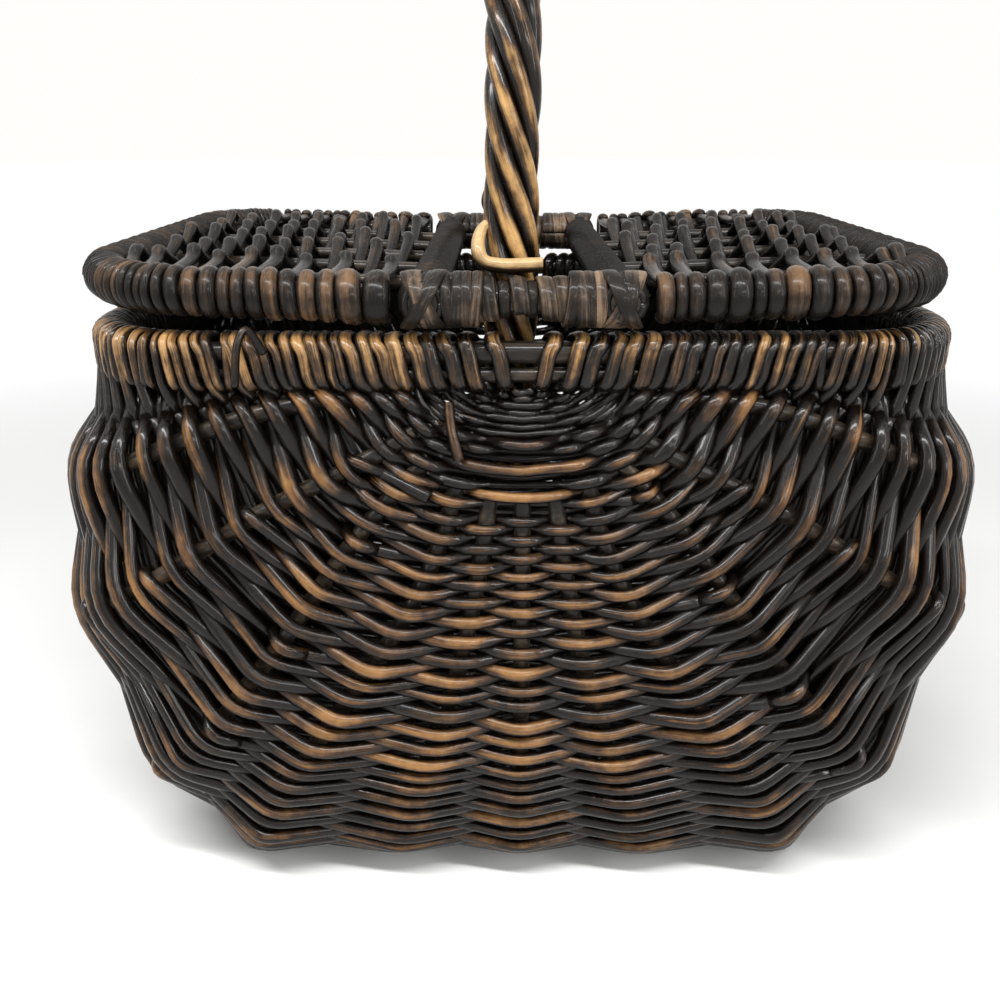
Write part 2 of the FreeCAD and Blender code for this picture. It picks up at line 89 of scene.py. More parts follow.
# Sizes shared with the model of the solids, in millimetres
RIM_Z = 256.0
LID_Z = 277.0
RIM_HALF_LENGTH = 174.0
RIM_HALF_DEPTH = 125.0
RIM_CORNER = 48.0
BOTTOM_RIB_Z = 8.0
WALL_LEVELS = [
    (BOTTOM_RIB_Z, 139.0, 103.0, 50.0),
    (51.0, 175.0, 130.0, 56.0),
    (127.0, 200.0, 141.0, 60.0),
    (199.0, 195.0, 134.0, 56.0),
    (RIM_Z, RIM_HALF_LENGTH, RIM_HALF_DEPTH, RIM_CORNER),
]
RIM_ROD_RADIUS = 4.5
RIM_LOWER_ROD_RADIUS = 3.0
RIM_LOWER_Z = RIM_Z - 9.0
RIB_RADIUS = 3.6
EAR_Z = 246.0
SIDE_RIBS = {
    5: [(47, 236.5), (88, 236), (124, 226), (148, 216), (171, 207), (215, 200)],
    4: [(43, 225), (72, 209), (108, 191), (127, 179), (175, 149), (230, 130)],
    3: [(37, 215), (50, 202), (72, 176), (99, 138), (119, 112), (140, 84), (172, 58), (225, 51)],
}
SIDE_RIB_END_Z = {5: 199.0, 4: 127.0, 3: 51.0}
BOTTOM_RIBS = {
    2: [(26, 206), (33, 180), (53, 140), (76, 105), (98, 72), (115, 42)],
    1: [(13, 200), (18, 165), (29, 115), (41, 75), (51, 42)],
    0: [(0, 198), (0, 165), (0, 115), (0, 75), (0, 42)],
}
BOTTOM_RIB_X = {2: 133.0, 1: 62.0, 0: 0.0}
HANDLE_X = -4.5
HANDLE_FOOT_Y = 107.0
HANDLE_FOOT_Z = 205.0
HANDLE_SPRING_Z = 335.0
HANDLE_PITCH = 124.0
STRAND_RADIUS = 3.5
STRAND_OFFSET = 7.2
BRIDGE_Y = 127.0
BRIDGE_ROD_RADIUS = 5.5
BRIDGE_BINDING_RADIUS = 9.0
HINGE_X = 38.0
HINGE_BAR_RADIUS = 5.5
LASHING_RADIUS = 12.8
LASHING_FRONT_RADIUS = 11.4
COLLAR_RADIUS = 10.8
LID_HALF_LENGTHS = {"left": 173.0, "right": 167.0}
LID_HALF_DEPTH = 127.0
LID_CORNER = 50.0
LID_REST_TILT = 2.0
LID_ROD_RADIUS = 5.0
LID_STAKE_RADIUS = 2.8
BAR_BINDING_RADIUS = 8.6
BAR_BINDING_HALF_LENGTH = 115.0
LID_STAKE_Y = [-86.0, -43.0, 0.0, 43.0, 86.0]


# Materials

def socket_link(tree, source, target):
    tree.links.new(source, target)


def math_node(tree, operation, a, b=None, clamp=False):
    node = tree.nodes.new("ShaderNodeMath")
    node.operation = operation
    node.use_clamp = clamp
    for i, value in enumerate((a, b)):
        if value is None:
            continue
        if isinstance(value, (int, float)):
            node.inputs[i].default_value = value
        else:
            socket_link(tree, value, node.inputs[i])
    return node.outputs[0]


def attribute(tree, name, output):
    node = tree.nodes.new("ShaderNodeAttribute")
    node.attribute_name = name
    return node.outputs[output]


def scaled_vector(tree, vector, scale):
    node = tree.nodes.new("ShaderNodeVectorMath")
    node.operation = "MULTIPLY"
    socket_link(tree, vector, node.inputs[0])
    node.inputs[1].default_value = scale
    return node.outputs[0]


def noise(tree, vector, scale, detail=4.0, rough=0.55):
    node = tree.nodes.new("ShaderNodeTexNoise")
    node.inputs["Scale"].default_value = scale
    node.inputs["Detail"].default_value = detail
    node.inputs["Roughness"].default_value = rough
    socket_link(tree, vector, node.inputs["Vector"])
    return node.outputs[0]


def ramp(tree, factor, stops):
    node = tree.nodes.new("ShaderNodeValToRGB")
    elements = node.color_ramp.elements
    while len(elements) < len(stops):
        elements.new(0.5)
    for element, (place, colour) in zip(elements, stops):
        element.position = place
        element.color = (*colour, 1.0)
    socket_link(tree, factor, node.inputs[0])
    return node.outputs[0]


def map_range(tree, value, low, high, out_low=0.0, out_high=1.0):
    node = tree.nodes.new("ShaderNodeMapRange")
    node.inputs["From Min"].default_value = low
    node.inputs["From Max"].default_value = high
    node.inputs["To Min"].default_value = out_low
    node.inputs["To Max"].default_value = out_high
    socket_link(tree, value, node.inputs["Value"])
    return node.outputs[0]


def willow(name, dark, mid, worn, wear_bias, roughness, strands=True, coat=0.3):
    """Stained willow: grain along each rod, paler where the rods' per-point value is high and darker where it is low.
    That value holds the wearing of the high spots together with painted light on the lit sides of the rods and painted
    shade on their shaded sides and in recesses.
    """
    material = bpy.data.materials.new(name)
    material.use_nodes = True
    tree = material.node_tree
    shader = tree.nodes["Principled BSDF"]
    place = tree.nodes.new("ShaderNodeTexCoord").outputs["Object"]
    if strands:
        grain_place = attribute(tree, "strand", "Vector")
        wear_and_shade = attribute(tree, "wear_and_shade", "Fac")
        tone = attribute(tree, "tone", "Fac")
    else:
        grain_place = scaled_vector(tree, place, (100.0, 100.0, 100.0))
        wear_and_shade = math_node(tree, "MULTIPLY", noise(tree, place, 25.0), 0.6)
        tone = noise(tree, place, 12.0)
    fine = noise(tree, scaled_vector(tree, grain_place, (0.7, 9.0, 3.0)), 2.2, 5.0, 0.65)
    streak = noise(tree, scaled_vector(tree, grain_place, (0.16, 3.2, 1.7)), 1.6, 3.0, 0.5)
    blotch = noise(tree, place, 64.0, 5.0, 0.6)
    speck = noise(tree, place, 420.0, 3.0, 0.6)
    mask = math_node(tree, "MULTIPLY", wear_and_shade, 1.0)
    for part, weight in ((streak, 1.1), (blotch, 1.1), (fine, 0.55), (tone, 0.45)):
        mask = math_node(tree, "ADD", mask, math_node(tree, "MULTIPLY", math_node(tree, "SUBTRACT", part, 0.5), weight))
    mask = math_node(tree, "ADD", mask, wear_bias, clamp=True)
    colour = ramp(tree, mask, [(0.26, dark), (0.48, mid), (0.68, tuple((a + b) / 2 for a, b in zip(mid, worn))),
                               (0.95, worn)])
    shade = tree.nodes.new("ShaderNodeMix")
    shade.data_type = "RGBA"
    shade.blend_type = "MULTIPLY"
    shade.inputs["Factor"].default_value = 1.0
    socket_link(tree, colour, shade.inputs["A"])
    value = math_node(tree, "ADD", math_node(tree, "MULTIPLY", tone, 0.55), 0.72)
    value = math_node(tree, "MULTIPLY", value, map_range(tree, speck, 0.3, 0.7, 0.82, 1.12))
    grey = tree.nodes.new("ShaderNodeCombineColor")
    for i in range(3):
        socket_link(tree, value, grey.inputs[i])
    socket_link(tree, grey.outputs[0], shade.inputs["B"])
    socket_link(tree, shade.outputs["Result"], shader.inputs["Base Color"])
    socket_link(tree, map_range(tree, fine, 0.25, 0.75, roughness - 0.1, roughness + 0.14), shader.inputs["Roughness"])
    shader.inputs["Specular IOR Level"].default_value = 0.12
    shader.inputs["Coat Weight"].default_value = coat
    shader.inputs["Coat Roughness"].default_value = 0.13
    height = math_node(tree, "ADD", math_node(tree, "MULTIPLY", fine, 0.6), math_node(tree, "MULTIPLY", streak, 0.8))
    height = math_node(tree, "ADD", height, math_node(tree, "MULTIPLY", speck, 0.35))
    bump = tree.nodes.new("ShaderNodeBump")
    bump.inputs["Strength"].default_value = 0.55
    bump.inputs["Distance"].default_value = 0.0009
    socket_link(tree, height, bump.inputs["Height"])
    socket_link(tree, bump.outputs[0], shader.inputs["Normal"])
    return material


BODY = willow("body_willow", (0.004, 0.0026, 0.0018), (0.044, 0.021, 0.0085), (0.21, 0.104, 0.035), -0.33, 0.17, coat=0.3)
RIM = willow("rim_willow", (0.006, 0.0045, 0.0034), (0.058, 0.030, 0.012), (0.42, 0.235, 0.088), -0.25, 0.2, coat=0.36)
LID = willow("lid_willow", (0.006, 0.0046, 0.0036), (0.027, 0.0165, 0.0105), (0.14, 0.078, 0.038), -0.24, 0.27, coat=0.12)
SPLIT = willow("split_willow", (0.010, 0.0075, 0.0058), (0.058, 0.040, 0.028), (0.24, 0.162, 0.100), 0.02, 0.36, coat=0.12)
HANDLE = willow("handle_willow", (0.007, 0.0045, 0.003), (0.085, 0.042, 0.016), (0.46, 0.27, 0.10), 0.0, 0.22)
TIE = willow("tie_withy", (0.02, 0.012, 0.006), (0.15, 0.088, 0.036), (0.46, 0.31, 0.15), 0.0, 0.30)
ROD = willow("rib_wood", (0.010, 0.0075, 0.0055), (0.042, 0.030, 0.020), (0.12, 0.08, 0.048), 0.0, 0.42, strands=False)
# Near black, for the cores that show only in the gaps between strips and turns: painted shade in those gaps.
SHADE_CORE = willow("core_painted_shade", (0.004, 0.0032, 0.0026), (0.010, 0.0075, 0.0055), (0.02, 0.014, 0.009), 0.0, 0.7, strands=False)


# Rods as tubes of many rings

class Bundle:
    """Collects rods into one mesh, with the attributes that the willow material reads."""

    def __init__(self, seed):
        self.random = random.Random(seed)
        self.points = []
        self.faces = []
        self.strand = []
        self.wear_and_shade = []
        self.tone = []
        self.count = 0

    def rod(self, path, radius, wear_and_shade=0.4, tone=None, sides=8, flat=None, up=None, taper=(0.0, 0.0), closed=False,
            rubbed_and_lit_from=None, paling=0.34):
        """Adds one rod along a path. flat is (half width, half thickness), with its face towards up.

        Its last two arguments make the side facing a given way paler and the far side darker, by a given amount: partly
        worn by hands and cloth that reach the rod from that way, partly painted light on the near side and painted
        shade on the far side. With no way given the colour is the same all round."""
        path = np.asarray(path, float)
        n = len(path)
        if closed:
            tangents = np.roll(path, -1, axis=0) - np.roll(path, 1, axis=0)
        else:
            tangents = np.gradient(path, axis=0)
        tangents /= np.maximum(np.linalg.norm(tangents, axis=1), 1e-9)[:, None]
        normals = np.empty_like(path)
        if up is not None:
            ups = np.broadcast_to(np.asarray(up, float), path.shape)
            normals = ups - tangents * (ups * tangents).sum(1)[:, None]
        else:
            normal = np.array([0.31, 0.27, 0.91])
            for i in range(n):
                normal = normal - tangents[i] * normal.dot(tangents[i])
                normal = normal / max(np.linalg.norm(normal), 1e-9)
                normals[i] = normal
        normals /= np.maximum(np.linalg.norm(normals, axis=1), 1e-9)[:, None]
        across = np.cross(tangents, normals)
        steps = np.linalg.norm(np.diff(path, axis=0), axis=1)
        along = np.concatenate([[0.0], np.cumsum(steps)])
        radii = np.broadcast_to(np.asarray(radius, float), (n,)).copy()
        total = max(along[-1], 1e-6)
        for end, depth in enumerate(taper):
            if depth > 0:
                reach = along if end == 0 else total - along
                radii *= np.clip(0.35 + 0.65 * reach / depth, 0.35, 1.0)
        angles = np.linspace(0.0, 2 * math.pi, sides, endpoint=False)
        if flat is None:
            half_width, half_thick = radii, radii
        else:
            scale = radii / max(radii.max(), 1e-9)
            half_width, half_thick = flat[0] * scale, flat[1] * scale
        ring = (np.cos(angles)[None, :, None] * across[:, None, :] * half_width[:, None, None]
                + np.sin(angles)[None, :, None] * normals[:, None, :] * half_thick[:, None, None])
        points = (path[:, None, :] + ring).reshape(-1, 3)
        base = self.count
        self.points.append(points)
        index = np.arange(n * sides).reshape(n, sides) + base
        rows = n if closed else n - 1
        for i in range(rows):
            a, b = index[i], index[(i + 1) % n]
            for j in range(sides):
                k = (j + 1) % sides
                self.faces.append((a[j], a[k], b[k], b[j]))
        if not closed:
            self.faces.append(tuple(index[0][::-1]))
            self.faces.append(tuple(index[-1]))
        seed = self.random.uniform(0.0, 60.0)
        strand = np.empty((n, sides, 3))
        strand[:, :, 0] = along[:, None] * 0.1
        strand[:, :, 1] = np.abs(np.linspace(-1.0, 1.0, sides, endpoint=False))[None, :] + seed
        strand[:, :, 2] = seed
        self.strand.append(strand.reshape(-1, 3))
        wear_with_side_shade = np.repeat(np.broadcast_to(np.asarray(wear_and_shade, float), (n,)), sides)
        # The side facing the given way is made paler and the far side darker: worn by hands, with painted light on the
        # near side and painted shade on the far side.
        if rubbed_and_lit_from is not None:
            facing = np.broadcast_to(np.asarray(rubbed_and_lit_from, float), path.shape)
            facing = facing / np.maximum(np.linalg.norm(facing, axis=1), 1e-9)[:, None]
            reach = (np.cos(angles)[None, :] * (across * facing).sum(1)[:, None]
                     + np.sin(angles)[None, :] * (normals * facing).sum(1)[:, None])
            wear_with_side_shade = wear_with_side_shade + paling * (reach.ravel() - 0.5)
        self.wear_and_shade.append(wear_with_side_shade)
        tone = self.random.uniform(0.15, 0.85) if tone is None else tone
        self.tone.append(np.full(n * sides, tone))
        self.count += n * sides

    def piece(self, name, material, body, slot, change=None):
        """Makes the object, in metres, riding on a body."""
        points = np.concatenate(self.points)
        if change is not None:
            points = change(points)
        mesh = bpy.data.meshes.new(name)
        mesh.from_pydata((points * MM).tolist(), [], self.faces)
        # The per-point value written here holds wearing together with painted light and painted shade.
        for key, kind, data in (("strand", "FLOAT_VECTOR", self.strand), ("wear_and_shade", "FLOAT", self.wear_and_shade),
                                ("tone", "FLOAT", self.tone)):
            layer = mesh.attributes.new(key, kind, "POINT")
            values = np.concatenate(data).astype(np.float32).ravel()
            layer.data.foreach_set("vector" if kind == "FLOAT_VECTOR" else "value", values)
        mesh.polygons.foreach_set("use_smooth", [True] * len(mesh.polygons))
        mesh.materials.append(material)
        mesh.update()
        thing = bpy.data.objects.new(name, mesh)
        bpy.context.scene.collection.objects.link(thing)
        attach(thing, body)
        return thing


def rounded(points, trim, steps=4, side_trim=0.0):
    """A polyline with its corners rounded, more so at the sides of the basket.

    Columns after the first three follow along."""
    points = [np.asarray(p, float) for p in points]
    path = [points[0]]
    for before, corner, after in zip(points, points[1:], points[2:]):
        a, b = before - corner, after - corner
        la, lb = np.linalg.norm(a[:3]), np.linalg.norm(b[:3])
        if la < 1e-6 or lb < 1e-6:
            continue
        reach = trim + side_trim * min(1.0, max(0.0, (abs(corner[0]) - 130.0) / 50.0))
        ta = corner + a / la * min(reach, la * 0.46)
        tb = corner + b / lb * min(reach, lb * 0.46)
        for t in np.linspace(0.0, 1.0, steps):
            path.append((1 - t) ** 2 * ta + 2 * t * (1 - t) * corner + t ** 2 * tb)
    path.append(points[-1])
    return np.array(path)


# The shape of the wall, as in the solids

def wall_at(z):
    for low, high in zip(WALL_LEVELS, WALL_LEVELS[1:]):
        if z <= high[0]:
            share = max(0.0, (z - low[0]) / (high[0] - low[0]))
            return [low[i] + share * (high[i] - low[i]) for i in (1, 2, 3)]
    return list(WALL_LEVELS[-1][1:])


def plan_point(way, half_length, half_depth, corner):
    straight = half_length - corner
    quarter = corner * math.pi / 2
    if way <= straight:
        return way, -half_depth
    if way <= straight + quarter:
        angle = (way - straight) / corner
        return straight + corner * math.sin(angle), -(half_depth - corner) - corner * math.cos(angle)
    return half_length, -(half_depth - corner) + (way - straight - quarter)


def cubic(points):
    """A smooth curve through points, with its length parameter."""
    points = np.asarray(points, float)
    chord = np.concatenate([[0.0], np.cumsum(np.linalg.norm(np.diff(points, axis=0), axis=1))])
    n = len(points)
    h = np.diff(chord)
    system = np.eye(n)
    rhs = np.zeros((n, 3))
    for i in range(1, n - 1):
        system[i, i - 1], system[i, i], system[i, i + 1] = h[i - 1], 2 * (h[i - 1] + h[i]), h[i]
        rhs[i] = 6 * ((points[i + 1] - points[i]) / h[i] - (points[i] - points[i - 1]) / h[i - 1])
    bend = np.linalg.solve(system, rhs)
    samples = []
    for i in range(n - 1):
        steps = max(4, int(h[i] / 1.5))
        t = np.linspace(0.0, h[i], steps, endpoint=i == n - 2)[:, None]
        a = (h[i] - t) / h[i]
        b = t / h[i]
        samples.append(a * points[i] + b * points[i + 1]
                       + ((a ** 3 - a) * bend[i] + (b ** 3 - b) * bend[i + 1]) * h[i] ** 2 / 6)
    return np.concatenate(samples)


class Rail:
    """One rib from the middle of the ear to the middle of the basket, as points by length."""

    def __init__(self, points, first_half):
        self.points = points[:first_half]
        steps = np.linalg.norm(np.diff(self.points, axis=0), axis=1)
        self.length_at = np.concatenate([[0.0], np.cumsum(steps)])
        self.length = self.length_at[-1]

    def at(self, length):
        return np.array([np.interp(length, self.length_at, self.points[:, i]) for i in range(3)])

    def way(self, length):
        ahead = self.at(min(length + 2.0, self.length))
        behind = self.at(max(length - 2.0, 0.0))
        return (ahead - behind) / max(np.linalg.norm(ahead - behind), 1e-9)


def half_rail(points):
    """Control points from the ear to the middle, made into a rail with the back half mirrored."""
    back = [(p[0], -p[1], p[2]) for p in reversed(points[:-1])]
    path = cubic(points + back)
    path[:, 2] = np.maximum(path[:, 2], BOTTOM_RIB_Z)
    middle = int(np.argmin(np.abs(path[:, 1]) + (path[:, 1] > 0) * 1000))
    ear = np.array([[0.0, -wall_at(EAR_Z)[1], EAR_Z]])
    lead = np.linspace(0.0, 1.0, 24, endpoint=False)[:, None]
    joined = np.concatenate([ear + (path[0] - ear) * lead, path[:middle + 1]])
    return Rail(joined, len(joined))


def make_rails():
    rails = {}
    for number, stations in BOTTOM_RIBS.items():
        points = [(x, -wall_at(z)[1], z) for x, z in stations]
        foot_x, depth = BOTTOM_RIB_X[number], wall_at(BOTTOM_RIB_Z)[1]
        points.append((foot_x * 0.95, -depth, BOTTOM_RIB_Z + 1.5))
        points += [(foot_x, -depth * share, BOTTOM_RIB_Z) for share in (0.8, 0.4, 0.0)]
        rails[number] = half_rail(points)
    for number, stations in SIDE_RIBS.items():
        points = []
        for way, z in stations:
            x, y = plan_point(way, *wall_at(z))
            points.append((x, y, z))
        end_z = SIDE_RIB_END_Z[number]
        points.append((wall_at(end_z)[0], 0.0, end_z))
        rails[number] = half_rail(points)
    return rails


RAILS = make_rails()
QUARTER = (RIM_HALF_LENGTH - RIM_CORNER) + RIM_CORNER * math.pi / 2 + (RIM_HALF_DEPTH - RIM_CORNER)


def edge_frame(way, half_length=RIM_HALF_LENGTH, half_depth=RIM_HALF_DEPTH, corner=RIM_CORNER):
    """Point, direction and outward direction of a rim, from the middle of the front."""
    sign = 1.0 if way >= 0 else -1.0
    way = abs(way)
    x, y = plan_point(way, half_length, half_depth, corner)
    x2, y2 = plan_point(way + 0.5, half_length, half_depth, corner)
    along = np.array([x2 - x, y2 - y, 0.0])
    along /= np.linalg.norm(along)
    outward = np.array([along[1], -along[0], 0.0])
    point = np.array([x * sign, y, 0.0])
    return point, along * [sign, 1, 1] * sign, outward * [sign, 1, 1]


def rim_loop_point(way, angle, radius):
    """A point of a wrap: angle 0 is outside, 90 on top, 180 inside, 270 underneath."""
    point, along, outward = edge_frame(way)
    c, s = math.cos(math.radians(angle)), math.sin(math.radians(angle))
    if s >= 0:
        centre, reach = RIM_Z, RIM_ROD_RADIUS + radius + 0.25
    else:
        centre, reach = RIM_LOWER_Z, RIM_LOWER_ROD_RADIUS + radius + 0.25
    side = RIM_ROD_RADIUS + radius + 0.25
    return point + outward * (c * side) + np.array([0.0, 0.0, centre + s * reach])


# Rows of weaving, worked out from each ear

RIBS = list(range(-5, 6))
ROWS = 84
EAR_START = 6.0
PACKED_FROM, PACKED_TO = 12, 72
EAR_ROWS = 16


def row_radii():
    """Radius of each row: thin in the ear, full size from a third of the way on, thick at the bottom."""
    chance = random.Random(3)
    radii = []
    for k in range(ROWS):
        size = 1.45 + 0.9 * min(1.0, k / 30.0) ** 0.8 + 0.25 * max(0.0, (k - 45.0) / 40.0)
        radii.append(size * (chance.uniform(0.84, 1.14) + (0.22 if chance.random() < 0.14 else 0.0)))
    return radii


ROW_RADII = row_radii()
RIB_CROWDING = {0: 1.0, 1: 1.0, 2: 0.98, 3: 0.9, 4: 0.8, 5: 0.72}
ROW_SHARES = np.cumsum([0.0] + [a + b for a, b in zip(ROW_RADII, ROW_RADII[1:])])
ROW_SHARES = ROW_SHARES / ROW_SHARES[-1]


def last_rib(k, side):
    """The rib that a row turns back on, with the next row as its way back, or 6 for the rim."""
    if not PACKED_FROM <= k < PACKED_TO or k % 6 not in (2, 3):
        return 6
    return 4 if (k % 12 < 6) == (side < 0) else 3


def row_length(rib, k):
    """How far along a rib a row crosses it: rows that go on spread out where others have ended."""
    rail = RAILS[abs(rib)]
    place = float(k)
    gap = abs(rib) >= 5 or (abs(rib) == 4 and (k % 12 < 6) == (rib > 0))
    if PACKED_FROM <= k < PACKED_TO and gap:
        place = k - k % 6 + {0: 0.25, 1: 1.75, 4: 3.25, 5: 4.75}.get(k % 6, 2.5)
    share = np.interp(place, range(ROWS), ROW_SHARES)
    return EAR_START + (rail.length - EAR_START - 2.4) * share ** RIB_CROWDING[abs(rib)]


def row_pitch(rib, k):
    """Room for a row on a rib, from the rows on both sides of it that reach the rib."""
    near = [j for j in range(k - 3, k + 4) if 0 <= j < ROWS and last_rib(j, rib) >= abs(rib)]
    below = max([j for j in near if j < k], default=None)
    above = min([j for j in near if j > k], default=None)
    here = row_length(rib, k)
    if below is None:
        return row_length(rib, above) - here
    if above is None:
        return here - row_length(rib, below)
    return (row_length(rib, above) - row_length(rib, below)) / 2.0


def crossing(rib, length):
    """Where a row crosses a rib, with the outward direction of the wall there."""
    rail = RAILS[abs(rib)]
    point = rail.at(length)
    way = rail.way(length)
    if abs(rib) <= 2 and length > 60 and point[2] < BOTTOM_RIB_Z + 0.5:
        outward = np.array([0.0, 0.0, -1.0])
    else:
        half_length, half_depth, corner = wall_at(point[2])
        cx = max(abs(point[0]) - (half_length - corner), 0.0)
        cy = max(abs(point[1]) - (half_depth - corner), 0.0)
        flat = np.array([cx, -cy, 0.0])
        if cx < 1e-6 and cy < 1e-6:
            flat = np.array([0.0, -1.0, 0.0])
        flat /= np.linalg.norm(flat)
        above = wall_at(point[2] + 6.0)
        below = wall_at(point[2] - 6.0)
        lean = (above[1] - below[1]) / 12.0
        outward = flat + np.array([0.0, 0.0, -lean])
        outward -= way * outward.dot(way)
        outward /= np.linalg.norm(outward)
    if rib < 0:
        point = point * [-1, 1, 1]
        outward = outward * [-1, 1, 1]
    return point, outward


def worn(x, z):
    """How far hands and years have worn the stain off: most at the middle of the wall."""
    return 0.68 + 0.3 * math.exp(-((x + 40.0) / 105.0) ** 2 - ((z - 140.0) / 80.0) ** 2) - 0.0006 * x


def weave_half(seed):
    """The rows between the front ear and the middle, with their wraps round the rim."""
    rows = Bundle(seed)
    wraps = Bundle(seed + 1)
    chance = random.Random(seed + 2)
    full = [k for k in range(ROWS) if last_rib(k, 1) == 6]
    doubled = {k for k in full if k > 8 and chance.random() < 0.14}
    widths = {k: 1.7 if k in doubled else chance.uniform(0.8, 1.15) for k in full}
    total = sum(widths.values())
    place = {}
    used = 0.0
    for k in full:
        start, end = [4.0 + (QUARTER - 5.0) * (u / total) ** 0.72 for u in (used, used + widths[k])]
        place[k] = ((start + end) / 2, end - start)
        used += widths[k]
    bends = [[row_bend(chance, rib, k) for rib in RIBS if abs(rib) <= last_rib(k, rib)] for k in range(ROWS)]
    for k in range(ROWS):
        tone = min(0.98, max(0.02, chance.gauss(0.5, 0.24)))
        if k in place:
            row_ends(rows, wraps, chance, k, bends[k], tone, *place[k], k in doubled)
        elif k % 6 == 2:
            short_rows(rows, k, bends[k], bends[k + 1], tone)
    for k in range(5, 46):
        for side in (-1, 1):
            packing(rows, chance, k, side)
    return rows, wraps


def row_bend(chance, rib, k):
    """Where a row passes a rib, outside or inside it: point, radius and a colour value, worn paler outside the rib and
    dark inside it, partly as painted shade.
    """
    length = row_length(rib, k) + chance.uniform(-0.4, 0.4)
    radius = min(3.9, 0.63 * row_pitch(rib, k)) * chance.uniform(0.94, 1.06)
    over = (rib + k) % 2 == 0
    long_arc = k < EAR_ROWS and abs(rib) <= 1
    if long_arc:
        over = k % 3 == 1
        radius = 2.3 if over else 1.6
    point, outward = crossing(rib, length)
    reach = (RIB_RADIUS + radius) * (1.15 if over else -0.72)
    if long_arc and not over:
        reach = 0.0
    if k < 7:
        radius, reach = 1.7, min(reach, 0.4)
    if abs(point[0]) > 180.0 and over:
        reach *= 0.75
    if point[2] < BOTTOM_RIB_Z + 12.0 and over:
        reach = min(reach, BOTTOM_RIB_Z - radius - 0.3)
    middle = point + outward * (reach + chance.uniform(-0.5, 0.5))
    # Over a rib the row is worn paler, most at the middle of the wall, and the first rows at the ear stay darker; under
    # a rib it is made dark, partly as unworn stain and partly as painted shade in the recess.
    wear_and_shade = 0.74 * worn(point[0], point[2]) * min(1.0, max(0.0, (k - 3) / 9.0)) if over else -0.22
    return np.array([*middle, radius, wear_and_shade])


def packing(rows, chance, k, side):
    """A rod pushed in between two rows, from the third rib up to the rim, coloured dark as painted shade in the gaps
    between the rows.
    """
    path = []
    for number in (3, 4, 5):
        point, outward = crossing(side * number, (row_length(number, k) + row_length(number, k + 1)) / 2)
        reach = (-3.4, -1.4, -2.4)[number - 3] + chance.uniform(-0.6, 0.6)
        path.append(np.array([*(point + outward * reach), 2.3, -0.25]))
    point, along, outward = edge_frame(side * rim_way(path[-1]))
    path.append(np.array([*(point - outward * 1.5 + np.array([0.0, 0.0, RIM_LOWER_Z])), 2.1, -0.25]))
    add_row(rows, rounded(path, 6.0, 4), chance.uniform(0.05, 0.4))


def rim_way(point):
    """How far round from the middle of the front a point of the wall lies, as a way along the rim."""
    x, y = abs(point[0]), abs(point[1])
    straight, depth = RIM_HALF_LENGTH - RIM_CORNER, RIM_HALF_DEPTH - RIM_CORNER
    if x <= straight:
        return x
    if y >= depth:
        return straight + RIM_CORNER * math.atan2(x - straight, y - depth)
    return straight + RIM_CORNER * math.pi / 2 + depth - y


def wrap_angles(starts_outside, doubled):
    """Angles of a wrap that starts below the rim on one side, goes over and ends underneath."""
    turn = 1.0 if starts_outside else -1.0
    start = -28.0 if starts_outside else 208.0
    sweep = 255.0 if starts_outside else 300.0
    if doubled:
        sweep += 360.0
    count = 18 if doubled else 8
    return [start + turn * sweep * i / count for i in range(count + 1)]


def add_row(bundle, path, tone):
    # Rows are paler on the outer and upper side and darker on the inner side: worn where hands reach them, with painted
    # light on top and painted shade inside.
    outward = path[:, :3] * [0.8, 1.0, 0.0] + [0.0, 0.0, 75.0]
    bundle.rod(path[:, :3], path[:, 3], wear_and_shade=path[:, 4], tone=tone, sides=9, rubbed_and_lit_from=outward, paling=0.95)


def row_ends(rows, wraps, chance, k, bend, tone, place, width, doubled):
    """A row that ends in a wrap round the rim at both sides."""
    for side in (-1, 1):
        angles = wrap_angles(k % 2 == 0, doubled)
        near = bend[0] if side < 0 else bend[-1]
        wraps_here = 2 if doubled else 1
        half_width = min(3.2, 0.5 * width / wraps_here)
        drift = width * (0.55 if doubled else 0.12) * side
        shift = chance.uniform(-0.5, 0.5)
        slope = (place - rim_way(near)) / max(8.0, RIM_LOWER_Z - near[2])
        lean = (min(4.5, max(-1.5, 6.5 * slope)) + chance.uniform(-0.4, 0.8)) * side
        wear_and_shade = chance.uniform(0.3, 0.64) - 0.1 * side * min(1.0, place / 60.0)
        stations = []
        for i, angle in enumerate(angles):
            way = side * (place + shift) + drift * (i / len(angles) - 0.5)
            way += lean * math.sin(math.radians(angle)) * max(0.0, math.cos(math.radians(angle * 0.6)))
            point = rim_loop_point(way, angle, 1.6)
            out = point - rim_loop_point(way, angle, -1.0)
            # Each wrap is paler on its upper outer side and darker underneath: worn on top of the rim, with a painted
            # highlight where it faces up and out and painted shade where it curves under.
            facing = max(0.0, math.cos(math.radians(angle - 40.0)))
            stations.append(np.array([*point, half_width, wear_and_shade * (0.4 + 0.75 * facing),
                                      *(out / np.linalg.norm(out))]))
        slim = min(2.7, near[3] + 0.3)
        start = np.array([*near[:3], slim + 0.2, near[4], *stations[0][5:]])
        joint = start * 0.55 + stations[0] * 0.45
        path = smooth([joint] + stations)
        thick = np.linspace(min(2.5, slim), 2.1, len(path))
        wraps.rod(path[:, :3], 1.0, wear_and_shade=path[:, 4], tone=0.3 + 0.4 * tone, sides=10,
                  flat=(path[:, 3], thick), up=path[:, 5:8], rubbed_and_lit_from=path[:, 5:8] + [0.0, 0.0, 0.5], paling=0.55)
        tail = np.array([*(joint[:3] + (joint[:3] - near[:3]) * 0.05), slim, 0.0])
        if side < 0:
            bend = [tail] + bend
        else:
            bend = bend + [tail]
    add_row(rows, rounded(bend, 8.0, 5, 8.0), tone)


